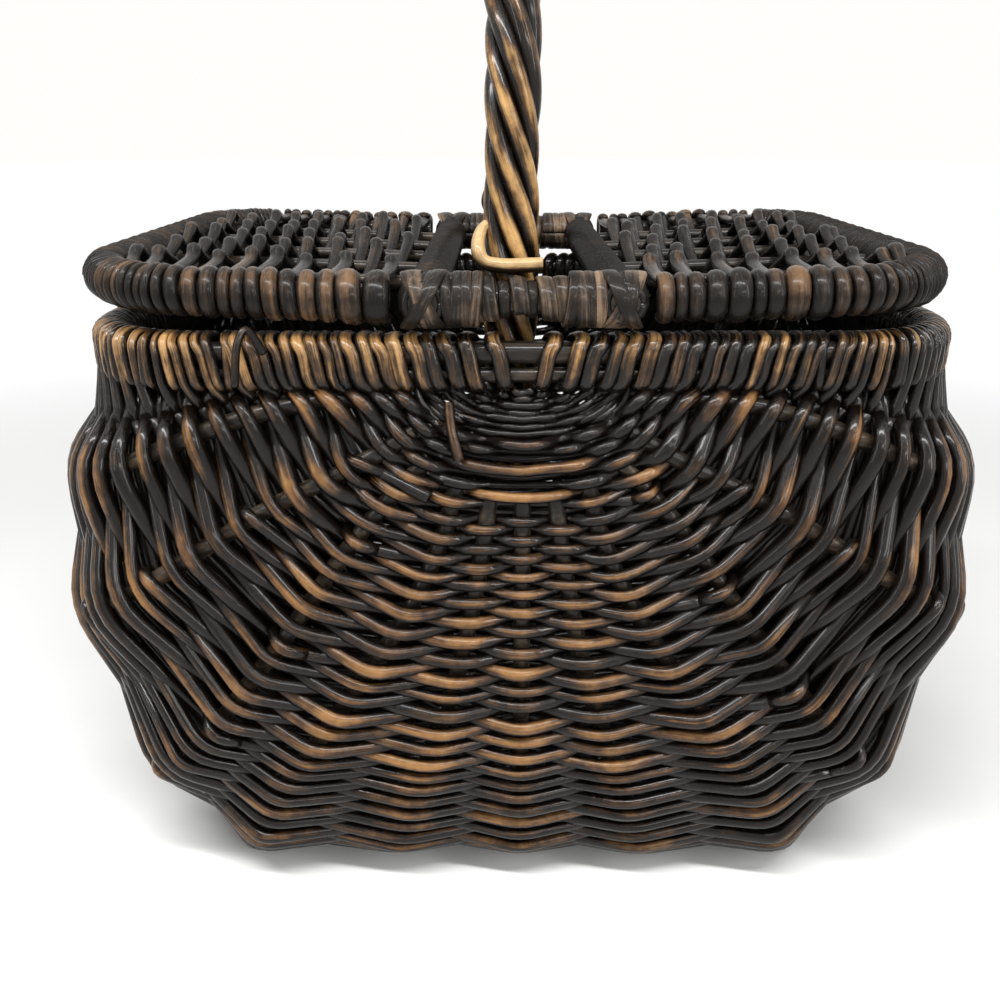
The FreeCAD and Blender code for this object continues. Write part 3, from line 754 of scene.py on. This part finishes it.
def smooth(points):
    """Points subdivided along a Catmull-Rom curve."""
    points = np.asarray(points, float)
    padded = np.concatenate([[2 * points[0] - points[1]], points, [2 * points[-1] - points[-2]]])
    out = []
    for i in range(1, len(padded) - 2):
        p0, p1, p2, p3 = padded[i - 1:i + 3]
        for t in (0.0, 1 / 3, 2 / 3):
            out.append(0.5 * (2 * p1 + (p2 - p0) * t + (2 * p0 - 5 * p1 + 4 * p2 - p3) * t ** 2
                              + (3 * p1 - p0 - 3 * p2 + p3) * t ** 3))
    out.append(points[-1])
    return np.array(out)


def short_rows(rows, k, first, second, tone):
    """A rod that turns back round the same rib on each side, as one row and the next."""
    turns = []
    for end, step in ((0, 1), (-1, -1)):
        side = -1 if end == 0 else 1
        rib = side * last_rib(k, side)
        away = first[end][:3] - first[end + step][:3]
        away /= np.linalg.norm(away)
        point, outward = crossing(rib, (row_length(rib, k) + row_length(rib, k + 1)) / 2)
        turns.append(np.array([*(point + away * (RIB_RADIUS + first[end][3])), first[end][3], -0.2]))
    joints = [second[0] * 0.7 + second[1] * 0.3, second[-1] * 0.7 + second[-2] * 0.3]
    path = [joints[0], second[0], turns[0]] + first + [turns[1], second[-1], joints[1]]
    add_row(rows, rounded(path, 6.0, 5), tone)
    add_row(rows, rounded([joints[0]] + second[1:-1] + [joints[1]], 6.0, 5), tone)


def cut_ends(rows):
    """Short rods of the front whose ends are cut off and stand a little out of the weave."""
    for path, radius, wear_and_shade in (
            ([(-62, -131, 211), (-51, -136, 207), (-37, -141.5, 201.5)], 2.9, 0.3),
            ([(-29, -134, 238), (-28, -138, 229), (-25, -141.5, 217)], 2.2, 0.55),
            ([(-58, -128, 112), (-45, -134, 108), (-34, -139.5, 104)], 2.8, 0.45),
            ([(-99, -136, 258), (-104, -139, 267.5), (-107.5, -142.5, 262), (-109, -144.5, 247)], 1.6, 0.35)):
        # The cut ends are paler on their upper front side and darker behind: worn there, with painted light on that
        # side and painted shade behind.
        rows.rod(smooth(smooth(np.array(path, float))), radius, wear_and_shade=wear_and_shade, tone=0.5, sides=9,
                 rubbed_and_lit_from=(0.0, -0.6, 0.8), paling=0.5)


def mirror_depth(points):
    return points * [1, -1, 1]


front_rows, front_wraps = weave_half(11)
cut_ends(front_rows)
back_rows, back_wraps = weave_half(47)


def flipped(bundle):
    """Turns the faces of a bundle over, for one whose points are mirrored."""
    bundle.faces = [face[::-1] for face in bundle.faces]
    return bundle


weave_front = front_rows.piece("weave_front_rods", BODY, "basket", "body_willow")
weave_back = flipped(back_rows).piece("weave_back_rods", BODY, "basket", "body_willow", mirror_depth)
rim_front = front_wraps.piece("rim_wraps_front", RIM, "basket", "body_willow")
rim_back = flipped(back_wraps).piece("rim_wraps_back", RIM, "basket", "body_willow", mirror_depth)
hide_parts("weave_front", "ear_front")
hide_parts("weave_back", "ear_back")
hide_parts("rim_binding")


# Rods that stay as solids

def dress(names, material):
    for name in names:
        for thing in bpy.data.objects:
            if thing.type == "MESH" and thing.name == name:
                for slot in thing.material_slots:
                    slot.material = material


RIB_NODES = ["keel_rib"] + ["rib_%s_%d" % (hand, i) for hand in ("left", "right") for i in range(1, 6)]
dress(RIB_NODES, ROD)
dress(["rim_rod", "rim_lower_rod", "bridge_bar_front", "bridge_bar_back", "handle_core"], ROD)
for hand in ("left", "right"):
    dress(["lid_%s_hinge_bar" % hand, "lid_%s_border_rod" % hand, "lid_%s_stakes" % hand], ROD)


# Handle

def handle_frame(way):
    rise = HANDLE_SPRING_Z - HANDLE_FOOT_Z
    arch = math.pi * HANDLE_FOOT_Y
    if way <= rise:
        return np.array([HANDLE_X, -HANDLE_FOOT_Y, HANDLE_FOOT_Z + way]), np.array([0, 1.0, 0])
    if way <= rise + arch:
        angle = (way - rise) / HANDLE_FOOT_Y
        inward = np.array([0, math.cos(angle), -math.sin(angle)])
        return np.array([HANDLE_X, 0, HANDLE_SPRING_Z]) - inward * HANDLE_FOOT_Y, inward
    return np.array([HANDLE_X, HANDLE_FOOT_Y, HANDLE_SPRING_Z - (way - rise - arch)]), np.array([0, -1.0, 0])


def make_handle():
    length = 2 * (HANDLE_SPRING_Z - HANDLE_FOOT_Z) + math.pi * HANDLE_FOOT_Y
    chance = random.Random(5)
    for number in range(6):
        bundle = Bundle(100 + number)
        count = 260
        phase = chance.uniform(0, 6.3)
        swell = chance.uniform(0.94, 1.1)
        points, radii, wear_and_shade, ridges = [], [], [], []
        for i in range(count + 1):
            way = length * i / count
            centre, inward = handle_frame(way)
            wander = 0.10 * math.sin(way / 47.0 + phase)
            turn = -2 * math.pi * way / HANDLE_PITCH + 2 * math.pi * number / 6 + wander
            offset = STRAND_OFFSET + 0.25 * math.sin(way / 31.0 + phase * 2)
            ridges.append(np.array([math.cos(turn), 0, 0]) + inward * math.sin(turn))
            points.append(centre + ridges[-1] * offset)
            radii.append(STRAND_RADIUS * swell * (1 + 0.05 * math.sin(way / 23.0 + phase * 3)))
            wear_and_shade.append(0.17 + 0.12 * math.sin(way / 61.0 + phase * 1.7) + 0.08 * math.sin(way / 13.0 + phase))
        # Each strand is paler on its outer ridge and darker towards the middle of the handle: worn on the ridge, with
        # painted shade in the grooves between the strands.
        bundle.rod(points, radii, wear_and_shade=wear_and_shade, sides=16, tone=0.3 + 0.08 * number, rubbed_and_lit_from=np.array(ridges), paling=1.0)
        piece = bundle.piece("handle_rod_%d" % (number + 1), HANDLE, "basket", "handle_willow")
        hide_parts("handle_strand_%d" % (number + 1))


make_handle()


def both_ends(build, name, seed, material, slot, nodes, body="basket"):
    """Builds a piece at the front and its mirrored fellow at the back."""
    for end, change in (("front", None), ("back", mirror_depth)):
        bundle = Bundle(seed + (0 if end == "front" else 1))
        build(bundle)
        if change is not None:
            flipped(bundle)
        piece = bundle.piece("%s_%s" % (name, end), material, body, slot, change)
        if nodes:
            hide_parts(*[node % end for node in nodes])


def build_tie(bundle):
    """The golden withy: down beside the handle, round the bend and across in front."""
    z = LID_Z + BRIDGE_BINDING_RADIUS + 3.2
    y = -(HANDLE_FOOT_Y + 10.6 + 3.3)
    points = [(-7.0, -HANDLE_FOOT_Y - 1.0, z + 15.5), (-11.6, -HANDLE_FOOT_Y - 5.0, z + 12.0),
              (-12.9, y + 2.5, z + 6.0), (-10.6, y + 0.5, z + 1.0), (-3.0, y, z - 0.4), (5.0, y, z - 0.2),
              (12.0, y, z)]
    path = smooth(smooth(np.array(points) + [HANDLE_X, 0.0, 0.0]))
    radii = np.interp(np.arange(len(path)), [0, 0.35 * len(path), len(path) - 1], [1.9, 2.9, 2.9])
    # Paler on top and darker underneath: worn on top, with painted light on top and painted shade below.
    bundle.rod(path, radii, wear_and_shade=0.62, sides=14, tone=0.6, rubbed_and_lit_from=(0.0, -0.3, 1.0), paling=0.8)


both_ends(build_tie, "tie_withy", 210, TIE, "tie_withy", ["tie_%s"])


def ring_turns(start, stop, pitch, radius, steps=22):
    """A helix about the X axis, as points (x, y, z) about the axis."""
    turns = (stop - start) / pitch
    count = max(int(turns * steps), 8)
    out = []
    for i in range(count + 1):
        angle = 2 * math.pi * turns * i / count
        out.append((start + (stop - start) * i / count, math.cos(angle) * radius, math.sin(angle) * radius))
    return np.array(out)


def build_bridge(bundle):
    """Wide flat strips wound round the bar, with two narrow gaps where it shows."""
    centre = np.array([0.0, -BRIDGE_Y, LID_Z])
    for start, stop in ((-25.0, -8.2), (-6.6, 2.2), (3.8, 25.0)):
        path = ring_turns(start + 2.6, stop - 2.6, 6.1, BRIDGE_BINDING_RADIUS - 1.0)
        ups = path * [0, 1, 1]
        lift = 1.0 + 0.05 * np.sin(np.linspace(0, 40, len(path)))
        points = centre + path * np.stack([np.ones(len(path)), lift, lift], -1)
        bundle.rod(points, 1.0, wear_and_shade=0.4, sides=10, flat=(3.3, 1.0), up=ups)
    for x in (-7.4, 3.0):
        ring = ring_turns(x - 0.1, x + 0.1, 0.2, BRIDGE_BINDING_RADIUS - 2.6)
        bundle.rod(centre + ring, 1.0, wear_and_shade=0.15, sides=8, flat=(2.4, 0.8), up=ring * [0, 1, 1])


both_ends(build_bridge, "bridge_strips", 220, SPLIT, "split_willow", ["bridge_binding_%s"])


def strip_loop(bundle, centre, reach, start, stop, slant, half_width, along, wear_and_shade, half_thick=0.65):
    """A flat strip round an axis along X: angle 0 is at the front, 90 on top. It slants as it goes."""
    points, ups = [], []
    count = max(6, int(abs(stop - start) / 12.0))
    for i in range(count + 1):
        angle = math.radians(start + (stop - start) * i / count)
        out = np.array([0.0, -math.cos(angle), math.sin(angle)])
        size = reach[0] * abs(math.cos(angle)) ** 2 + reach[1] * math.sin(angle) ** 2
        points.append(centre + out * size + np.array([along + slant * math.sin(angle), 0.0, 0.0]))
        ups.append(out)
    bundle.rod(points, 1.0, wear_and_shade=wear_and_shade, sides=10, flat=(half_width, half_thick), up=np.array(ups))


def build_lashing(bundle, hand):
    """Split willow crossed over the end of the hinge bar and carried on to the bridge."""
    sign = -1.0 if hand == "left" else 1.0
    centre = np.array([sign * HINGE_X, -BRIDGE_Y, LID_Z])
    chance = random.Random(17 if hand == "left" else 29)
    layers = [(-6.2, 3.0, 0.0), (5.6, 3.0, 0.3), (-3.4, 3.2, 0.9), (6.4, 2.9, 1.2)]
    if hand == "right":
        layers = [(5.8, 3.0, 0.0), (2.6, 3.2, 0.4), (-5.4, 3.1, 0.9)]
    for slant, half_width, lift in layers:
        along = sign * chance.uniform(-1.6, 1.2)
        strip_loop(bundle, centre, (11.9 + lift * 0.6, 10.2 + lift * 0.4), -175.0, 175.0, slant, half_width,
                   along, chance.uniform(0.25, 0.5))
    for i in range(4):
        along = -sign * (9.0 + 3.6 * i)
        strip_loop(bundle, centre, (10.4, 10.2), -178.0, 178.0, chance.uniform(-1.3, 1.3), 2.3,
                   along, chance.uniform(0.2, 0.5))


def lashing_core(bundle, hand):
    """The inside of a lashing, with the hole that the hinge bar turns in, coloured near black as painted shade where it
    shows between the strips.
    """
    sign = -1.0 if hand == "left" else 1.0
    for y, radius in ((-134.6, 8.8), (-131.6, 9.8), (-128.0, 10.2), (-124.0, 10.2), (-119.8, 9.6), (-116.8, 8.4)):
        ring = ring_turns(0.0, 0.01, 0.01, radius - 2.2, 20)[:, 1:]
        points = np.stack([sign * HINGE_X + ring[:, 0], np.full(len(ring), y), LID_Z + ring[:, 1]], -1)
        bundle.rod(points, 1.0, wear_and_shade=0.1, tone=0.2, sides=8, flat=(2.1, 2.4), up=(0, 1, 0))
    centre = np.array([sign * (HINGE_X - 14.0), -BRIDGE_Y, LID_Z])
    strip_loop(bundle, centre, (9.7, 9.7), -180.0, 180.0, 0.0, 7.0, 0.0, 0.1, 0.5)


for lash_hand in ("left", "right"):
    def lash(bundle, hand=lash_hand):
        build_lashing(bundle, hand)

    def heart(bundle, hand=lash_hand):
        lashing_core(bundle, hand)

    both_ends(heart, "hinge_heart_" + lash_hand, 260 if lash_hand == "left" else 262, SHADE_CORE, "split_willow", [])
    both_ends(lash, "hinge_strips_" + lash_hand, 240 if lash_hand == "left" else 244, SPLIT, "split_willow",
              ["hinge_lashing_%s_" + lash_hand])
SMOOTH_SPLIT = willow("foot_lashing", (0.012, 0.0095, 0.008), (0.05, 0.04, 0.032), (0.15, 0.11, 0.07), -0.05, 0.5,
                      strands=False)
dress(["handle_lashing_front", "handle_lashing_back"], SMOOTH_SPLIT)


# Lids, built level for the right-hand side, then tilted and mirrored

LID_BAND_START = 50.5
LID_BAND_ENDS = {"left": 186.0, "right": 148.0}
LID_BANDS = {
    "left": [11, 10.5, 7.5, 7.5, 7, 7, 6.5, 5.5, 5.5, 7, 6.5, 6, 4.5, 4, 3.6, 3.6, 3.8, 3.6, 4, 3.6, 3.8, 3.6, 4, 3.8, 3.6, 3.8],
    "right": [8, 6, 8, 10, 11, 6.5, 8.5, 11, 10, 8, 7.5, 7, 6, 5, 4.5],
}
LID_WORN_BAND = {"left": 5, "right": 7}


def lid_edge(way, hand):
    return edge_frame(way, LID_HALF_LENGTHS[hand], LID_HALF_DEPTH, LID_CORNER)


def lid_loop(way, angle, reach, hand):
    """Point and outward direction of a wrap: angle 0 is outside, 90 on top, 180 inside."""
    point, along, outward = lid_edge(way, hand)
    c, s = math.cos(math.radians(angle)), math.sin(math.radians(angle))
    out = outward * c + np.array([0.0, 0.0, s])
    return point + out * reach + np.array([0.0, 0.0, LID_Z]), out


def lid_wrap(way, half_width, row_half_width, half_thick, lean, hand):
    """Stations (point, up, half width) of a wrap, from its hidden end to the lid's top."""
    stations = []
    count = 9
    for i in range(count + 1):
        share = i / count
        angle = -110.0 + 245.0 * share
        point, out = lid_loop(way + (share - 0.5) * lean, angle, LID_ROD_RADIUS + half_thick + 0.3, hand)
        spread = min(1.0, (1.0 - share) * count / 2.5)
        stations.append(np.array([*point, *out, half_width * spread + row_half_width * (1 - spread)]))
    return stations


def across_lid(chance, i, x, half_width, half_thick):
    """Stations of a row of the lid, arching over one stake and dipping under the next."""
    stations = []
    for j, y in enumerate(LID_STAKE_Y):
        over = (i + j) % 2 == 0
        lift = LID_STAKE_RADIUS + half_thick + (chance.uniform(3.2, 6.4) if over else 0.2)
        lean = chance.uniform(-1.3, 1.3)
        for side in (-1, 1):
            flank = lift * (0.66 if over else 0.9) * (1 if over else -1)
            place = [x + lean + side * 0.5, y + side * 7.5, LID_Z + flank]
            stations.append(np.array(place + [0.0, side * (0.55 if over else -0.2), 1.0, half_width]))
            if side < 0:
                top = [x + lean, y, LID_Z + (lift if over else -lift)]
                stations.append(np.array(top + [0.0, 0.0, 1.0, half_width * 1.05]))
    return stations


def build_lid(seed, hand):
    bundle = Bundle(seed)
    chance = random.Random(seed + 1)
    straight = LID_HALF_LENGTHS[hand] - LID_CORNER
    bands = LID_BANDS[hand]
    scale = (LID_BAND_ENDS[hand] - LID_BAND_START) / sum(bands)
    way = LID_BAND_START
    rows = []
    for width in bands:
        width *= scale
        way += width
        middle = way - width / 2
        x = middle
        if x > straight:
            x = straight + LID_CORNER * math.sin((middle - straight) / LID_CORNER)
        rows.append((middle, x, width))
    last = rows[-1][1]
    while last < LID_HALF_LENGTHS[hand] - 16.0:
        last += 5.6
        rows.append((None, last, 5.0))
    placed = -100.0
    i = -1
    for middle, x, width in rows:
        crosses = x - placed > 4.6 and x < LID_HALF_LENGTHS[hand] - 12.0
        if crosses:
            placed = x
            i += 1
        half_thick = 1.75 + 0.08 * width + chance.uniform(-0.15, 0.25)
        half_width = chance.uniform(2.5, 3.0)
        row = across_lid(chance, i, x, half_width, half_thick)
        if middle is None:
            over = max(0.0, x - straight)
            reach = LID_HALF_DEPTH - LID_CORNER + math.sqrt(LID_CORNER ** 2 - over ** 2) - 3.0
            tail = np.array([x, reach, LID_Z + 1.0, 0.0, 0.0, 1.0, half_width])
            stations = [tail * [1, -1, 1, 1, 1, 1, 1]] + row + [tail]
        else:
            lean = chance.uniform(-1.0, 3.2) * (0.0 if middle < LID_BAND_START + 8.0 else 1.0)
            front = lid_wrap(middle, width * 0.49, half_width, half_thick, lean, hand)
            back = lid_wrap(middle + chance.uniform(-0.3, 0.3), width * 0.49, half_width, half_thick, lean, hand)
            back = [s * [1, -1, 1, 1, -1, 1, 1] for s in back[::-1]]
            stations = front + row + back
            if not crosses:
                stations = front
            if middle > LID_BAND_ENDS["right"]:
                stations = front + (row + [row[-1] * [1, 1, 1, 1, 1, 1, 1]] if crosses else [])
        path = smooth(stations)
        border = np.clip((np.abs(path[:, 1]) - 100.0) / 15.0, 0.0, 1.0)
        top = np.clip((path[:, 2] - LID_Z) / 6.0, 0.0, 1.0)
        paling = chance.uniform(0.6, 1.3) if i != LID_WORN_BAND[hand] else 2.4
        tone = min(0.95, max(0.05, chance.gauss(0.5, 0.22)))
        # Each lid rod is paler on its outer face and darker on the far side: worn on the face, with painted light there
        # and painted shade beneath.
        bundle.rod(path[:, :3], 1.0, wear_and_shade=0.12 + paling * (0.22 * border + 0.16 * top), tone=tone, sides=12,
                   flat=(path[:, 6], half_thick), up=path[:, 3:6], rubbed_and_lit_from=path[:, 3:6])
    return bundle


def build_end_skein(seed, hand):
    """The outer end of a lid: a core coloured near black as painted shade between the turns, with fine skein wound
    closely round it.
    """
    core = Bundle(seed)
    skein = Bundle(seed + 1)
    total = 2 * ((LID_HALF_LENGTHS[hand] - LID_CORNER) + LID_CORNER * math.pi / 2 + LID_HALF_DEPTH - LID_CORNER)
    start, stop = LID_BAND_ENDS[hand] - 1.5, total - LID_BAND_ENDS["right"] + 1.5

    def frame_at(way):
        if way <= total / 2:
            point, along, outward = lid_edge(way, hand)
            return point, outward
        point, along, outward = lid_edge(total - way, hand)
        return point * [1, -1, 1], outward * [1, -1, 1]

    ways = np.linspace(start, stop, 90)
    core.rod([frame_at(w)[0] + np.array([0, 0, LID_Z]) for w in ways], 8.7, wear_and_shade=0.05, tone=0.1, sides=20)
    pitch = 2.9
    turns = (stop - start) / pitch
    steps = 20
    points, ups = [], []
    for i in range(int(turns * steps) + 1):
        way = start + pitch * i / steps
        point, outward = frame_at(way)
        angle = 2 * math.pi * i / steps
        out = outward * math.cos(angle) + np.array([0.0, 0.0, math.sin(angle)])
        lift = 9.0 + 0.25 * math.sin(way * 1.7)
        points.append(point + out * lift + np.array([0.0, 0.0, LID_Z]))
        ups.append(out)
    # The skein is paler on top and darker below: worn on top, with painted light on top and painted shade below.
    skein.rod(points, 1.0, wear_and_shade=0.42, sides=7, flat=(1.35, 1.25), up=np.array(ups), rubbed_and_lit_from=(0.0, -0.3, 1.0), paling=0.3)
    return core, skein


def build_bar_skein(seed):
    """The hinge bar's fine skein and the core under it, coloured near black as painted shade between the turns."""
    core = Bundle(seed)
    skein = Bundle(seed + 1)
    half = BAR_BINDING_HALF_LENGTH
    core.rod([(HINGE_X, y, LID_Z) for y in np.linspace(-half, half, 9)], 7.3, wear_and_shade=0.05, tone=0.1, sides=18)
    turns = ring_turns(-half + 1.2, half - 1.2, 2.7, BAR_BINDING_RADIUS - 1.0, 18)
    points = np.stack([HINGE_X + turns[:, 1], turns[:, 0], LID_Z + turns[:, 2]], -1)
    ups = np.stack([turns[:, 1], turns[:, 0] * 0, turns[:, 2]], -1)
    # The skein is paler on top and darker below: worn on top, with painted light on top and painted shade below.
    skein.rod(points, 1.0, wear_and_shade=0.36, sides=7, flat=(1.25, 1.2), up=ups, rubbed_and_lit_from=(0.0, 0.0, 1.0), paling=0.3)
    return core, skein


def tilt_lid(points):
    angle = math.radians(LID_REST_TILT)
    x = points[:, 0] - HINGE_X
    z = points[:, 2] - LID_Z
    out = points.copy()
    out[:, 0] = HINGE_X + x * math.cos(angle) - z * math.sin(angle)
    out[:, 2] = LID_Z + x * math.sin(angle) + z * math.cos(angle)
    return out


def tilt_and_mirror(points):
    return tilt_lid(points) * [-1, 1, 1]


def make_lids():
    for hand, change, body in (("right", tilt_lid, "right_lid"), ("left", tilt_and_mirror, "left_lid")):
        seed = 300 if hand == "right" else 340
        slot = "lid_willow"
        rows = build_lid(seed, hand)
        end_core, end_skein = build_end_skein(seed + 5, hand)
        bar_core, bar_skein = build_bar_skein(seed + 10)
        if hand == "left":
            for bundle in (rows, end_core, end_skein, bar_core, bar_skein):
                flipped(bundle)
        weave = rows.piece("lid_%s_rods" % hand, LID, body, slot, change)
        end_core.piece("lid_%s_end_core" % hand, SHADE_CORE, body, slot, change)
        end_skein.piece("lid_%s_end_skein" % hand, LID, body, slot, change)
        bar_core.piece("lid_%s_bar_core" % hand, SHADE_CORE, body, slot, change)
        bar = bar_skein.piece("lid_%s_bar_skein" % hand, LID, body, slot, change)
        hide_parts("lid_%s_weave" % hand)
        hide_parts("lid_%s_bar_binding" % hand)


make_lids()


# Floor, light and camera

def seen_directly(tree):
    """1 for rays from the camera, and for those that gloss and glass send on."""
    path = tree.nodes.new("ShaderNodeLightPath")
    seen = math_node(tree, "MAXIMUM", path.outputs["Is Camera Ray"], path.outputs["Is Glossy Ray"])
    return math_node(tree, "MAXIMUM", seen, path.outputs["Is Transmission Ray"])


def make_floor():
    """A round sheet of pale paper, which fades into the white of the studio far from the basket."""
    count = 96
    points = [(9.0 * math.cos(2 * math.pi * i / count), 9.0 * math.sin(2 * math.pi * i / count), 0.0)
              for i in range(count)]
    mesh = bpy.data.meshes.new("floor")
    mesh.from_pydata(points, [], [tuple(range(count))])
    floor = bpy.data.objects.new("floor", mesh)
    bpy.context.scene.collection.objects.link(floor)
    paper = bpy.data.materials.new("floor_paper")
    paper.use_nodes = True
    tree = paper.node_tree
    shader = tree.nodes["Principled BSDF"]
    shader.inputs["Base Color"].default_value = (0.86, 0.86, 0.85, 1.0)
    shader.inputs["Roughness"].default_value = 0.9
    white = tree.nodes.new("ShaderNodeEmission")
    white.inputs["Strength"].default_value = 1.0
    length = tree.nodes.new("ShaderNodeVectorMath")
    length.operation = "LENGTH"
    socket_link(tree, tree.nodes.new("ShaderNodeTexCoord").outputs["Object"], length.inputs[0])
    far = map_range(tree, length.outputs["Value"], 0.35, 1.1)
    mixed = tree.nodes.new("ShaderNodeMixShader")
    socket_link(tree, math_node(tree, "MULTIPLY", far, seen_directly(tree)), mixed.inputs[0])
    socket_link(tree, shader.outputs[0], mixed.inputs[1])
    socket_link(tree, white.outputs[0], mixed.inputs[2])
    socket_link(tree, mixed.outputs[0], tree.nodes["Material Output"].inputs["Surface"])
    floor.data.materials.append(paper)
    floor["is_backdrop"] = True


def area_light(name, place, aim, size, energy):
    light = bpy.data.lights.new(name, "AREA")
    light.shape = "RECTANGLE"
    light.size, light.size_y = size
    light.energy = energy
    lamp = bpy.data.objects.new(name, light)
    bpy.context.scene.collection.objects.link(lamp)
    lamp.location = place
    way = Vector(aim) - Vector(place)
    lamp.rotation_euler = way.to_track_quat("-Z", "Y").to_euler()


make_floor()
area_light("key", (-0.15, -0.75, 1.45), (0.0, 0.0, 0.15), (1.7, 0.12), 35.0)
area_light("fill", (0.6, -1.6, 0.9), (0.0, 0.0, 0.15), (0.8, 0.16), 6.0)
area_light("top", (-0.4, 0.3, 1.7), (0.0, 0.0, 0.2), (0.8, 0.14), 4.0)
area_light("left", (-1.15, -0.95, 0.75), (0.0, 0.0, 0.12), (0.05, 1.1), 5.0)
area_light("right", (1.1, -1.0, 0.8), (0.0, 0.0, 0.12), (0.06, 1.1), 10.0)

world = bpy.data.worlds.new("studio")
world.use_nodes = True
around = world.node_tree.nodes["Background"]
around.inputs["Color"].default_value = (1.0, 0.99, 0.97, 1.0)
socket_link(world.node_tree, map_range(world.node_tree, seen_directly(world.node_tree), 0.0, 1.0, 0.08, 1.0),
            around.inputs["Strength"])
bpy.context.scene.world = world

camera_data = bpy.data.cameras.new("camera")
camera_data.sensor_width = 36.0
camera_data.lens = 37.8
camera = bpy.data.objects.new("camera", camera_data)
bpy.context.scene.collection.objects.link(camera)
camera.location = (-0.009, -0.531, 0.343)
camera.rotation_euler = (math.radians(90.0 - 20.1), 0.0, 0.0)
bpy.context.scene.camera = camera
bpy.context.scene.view_settings.view_transform = "Standard"

write_size("before_finish", sizes)
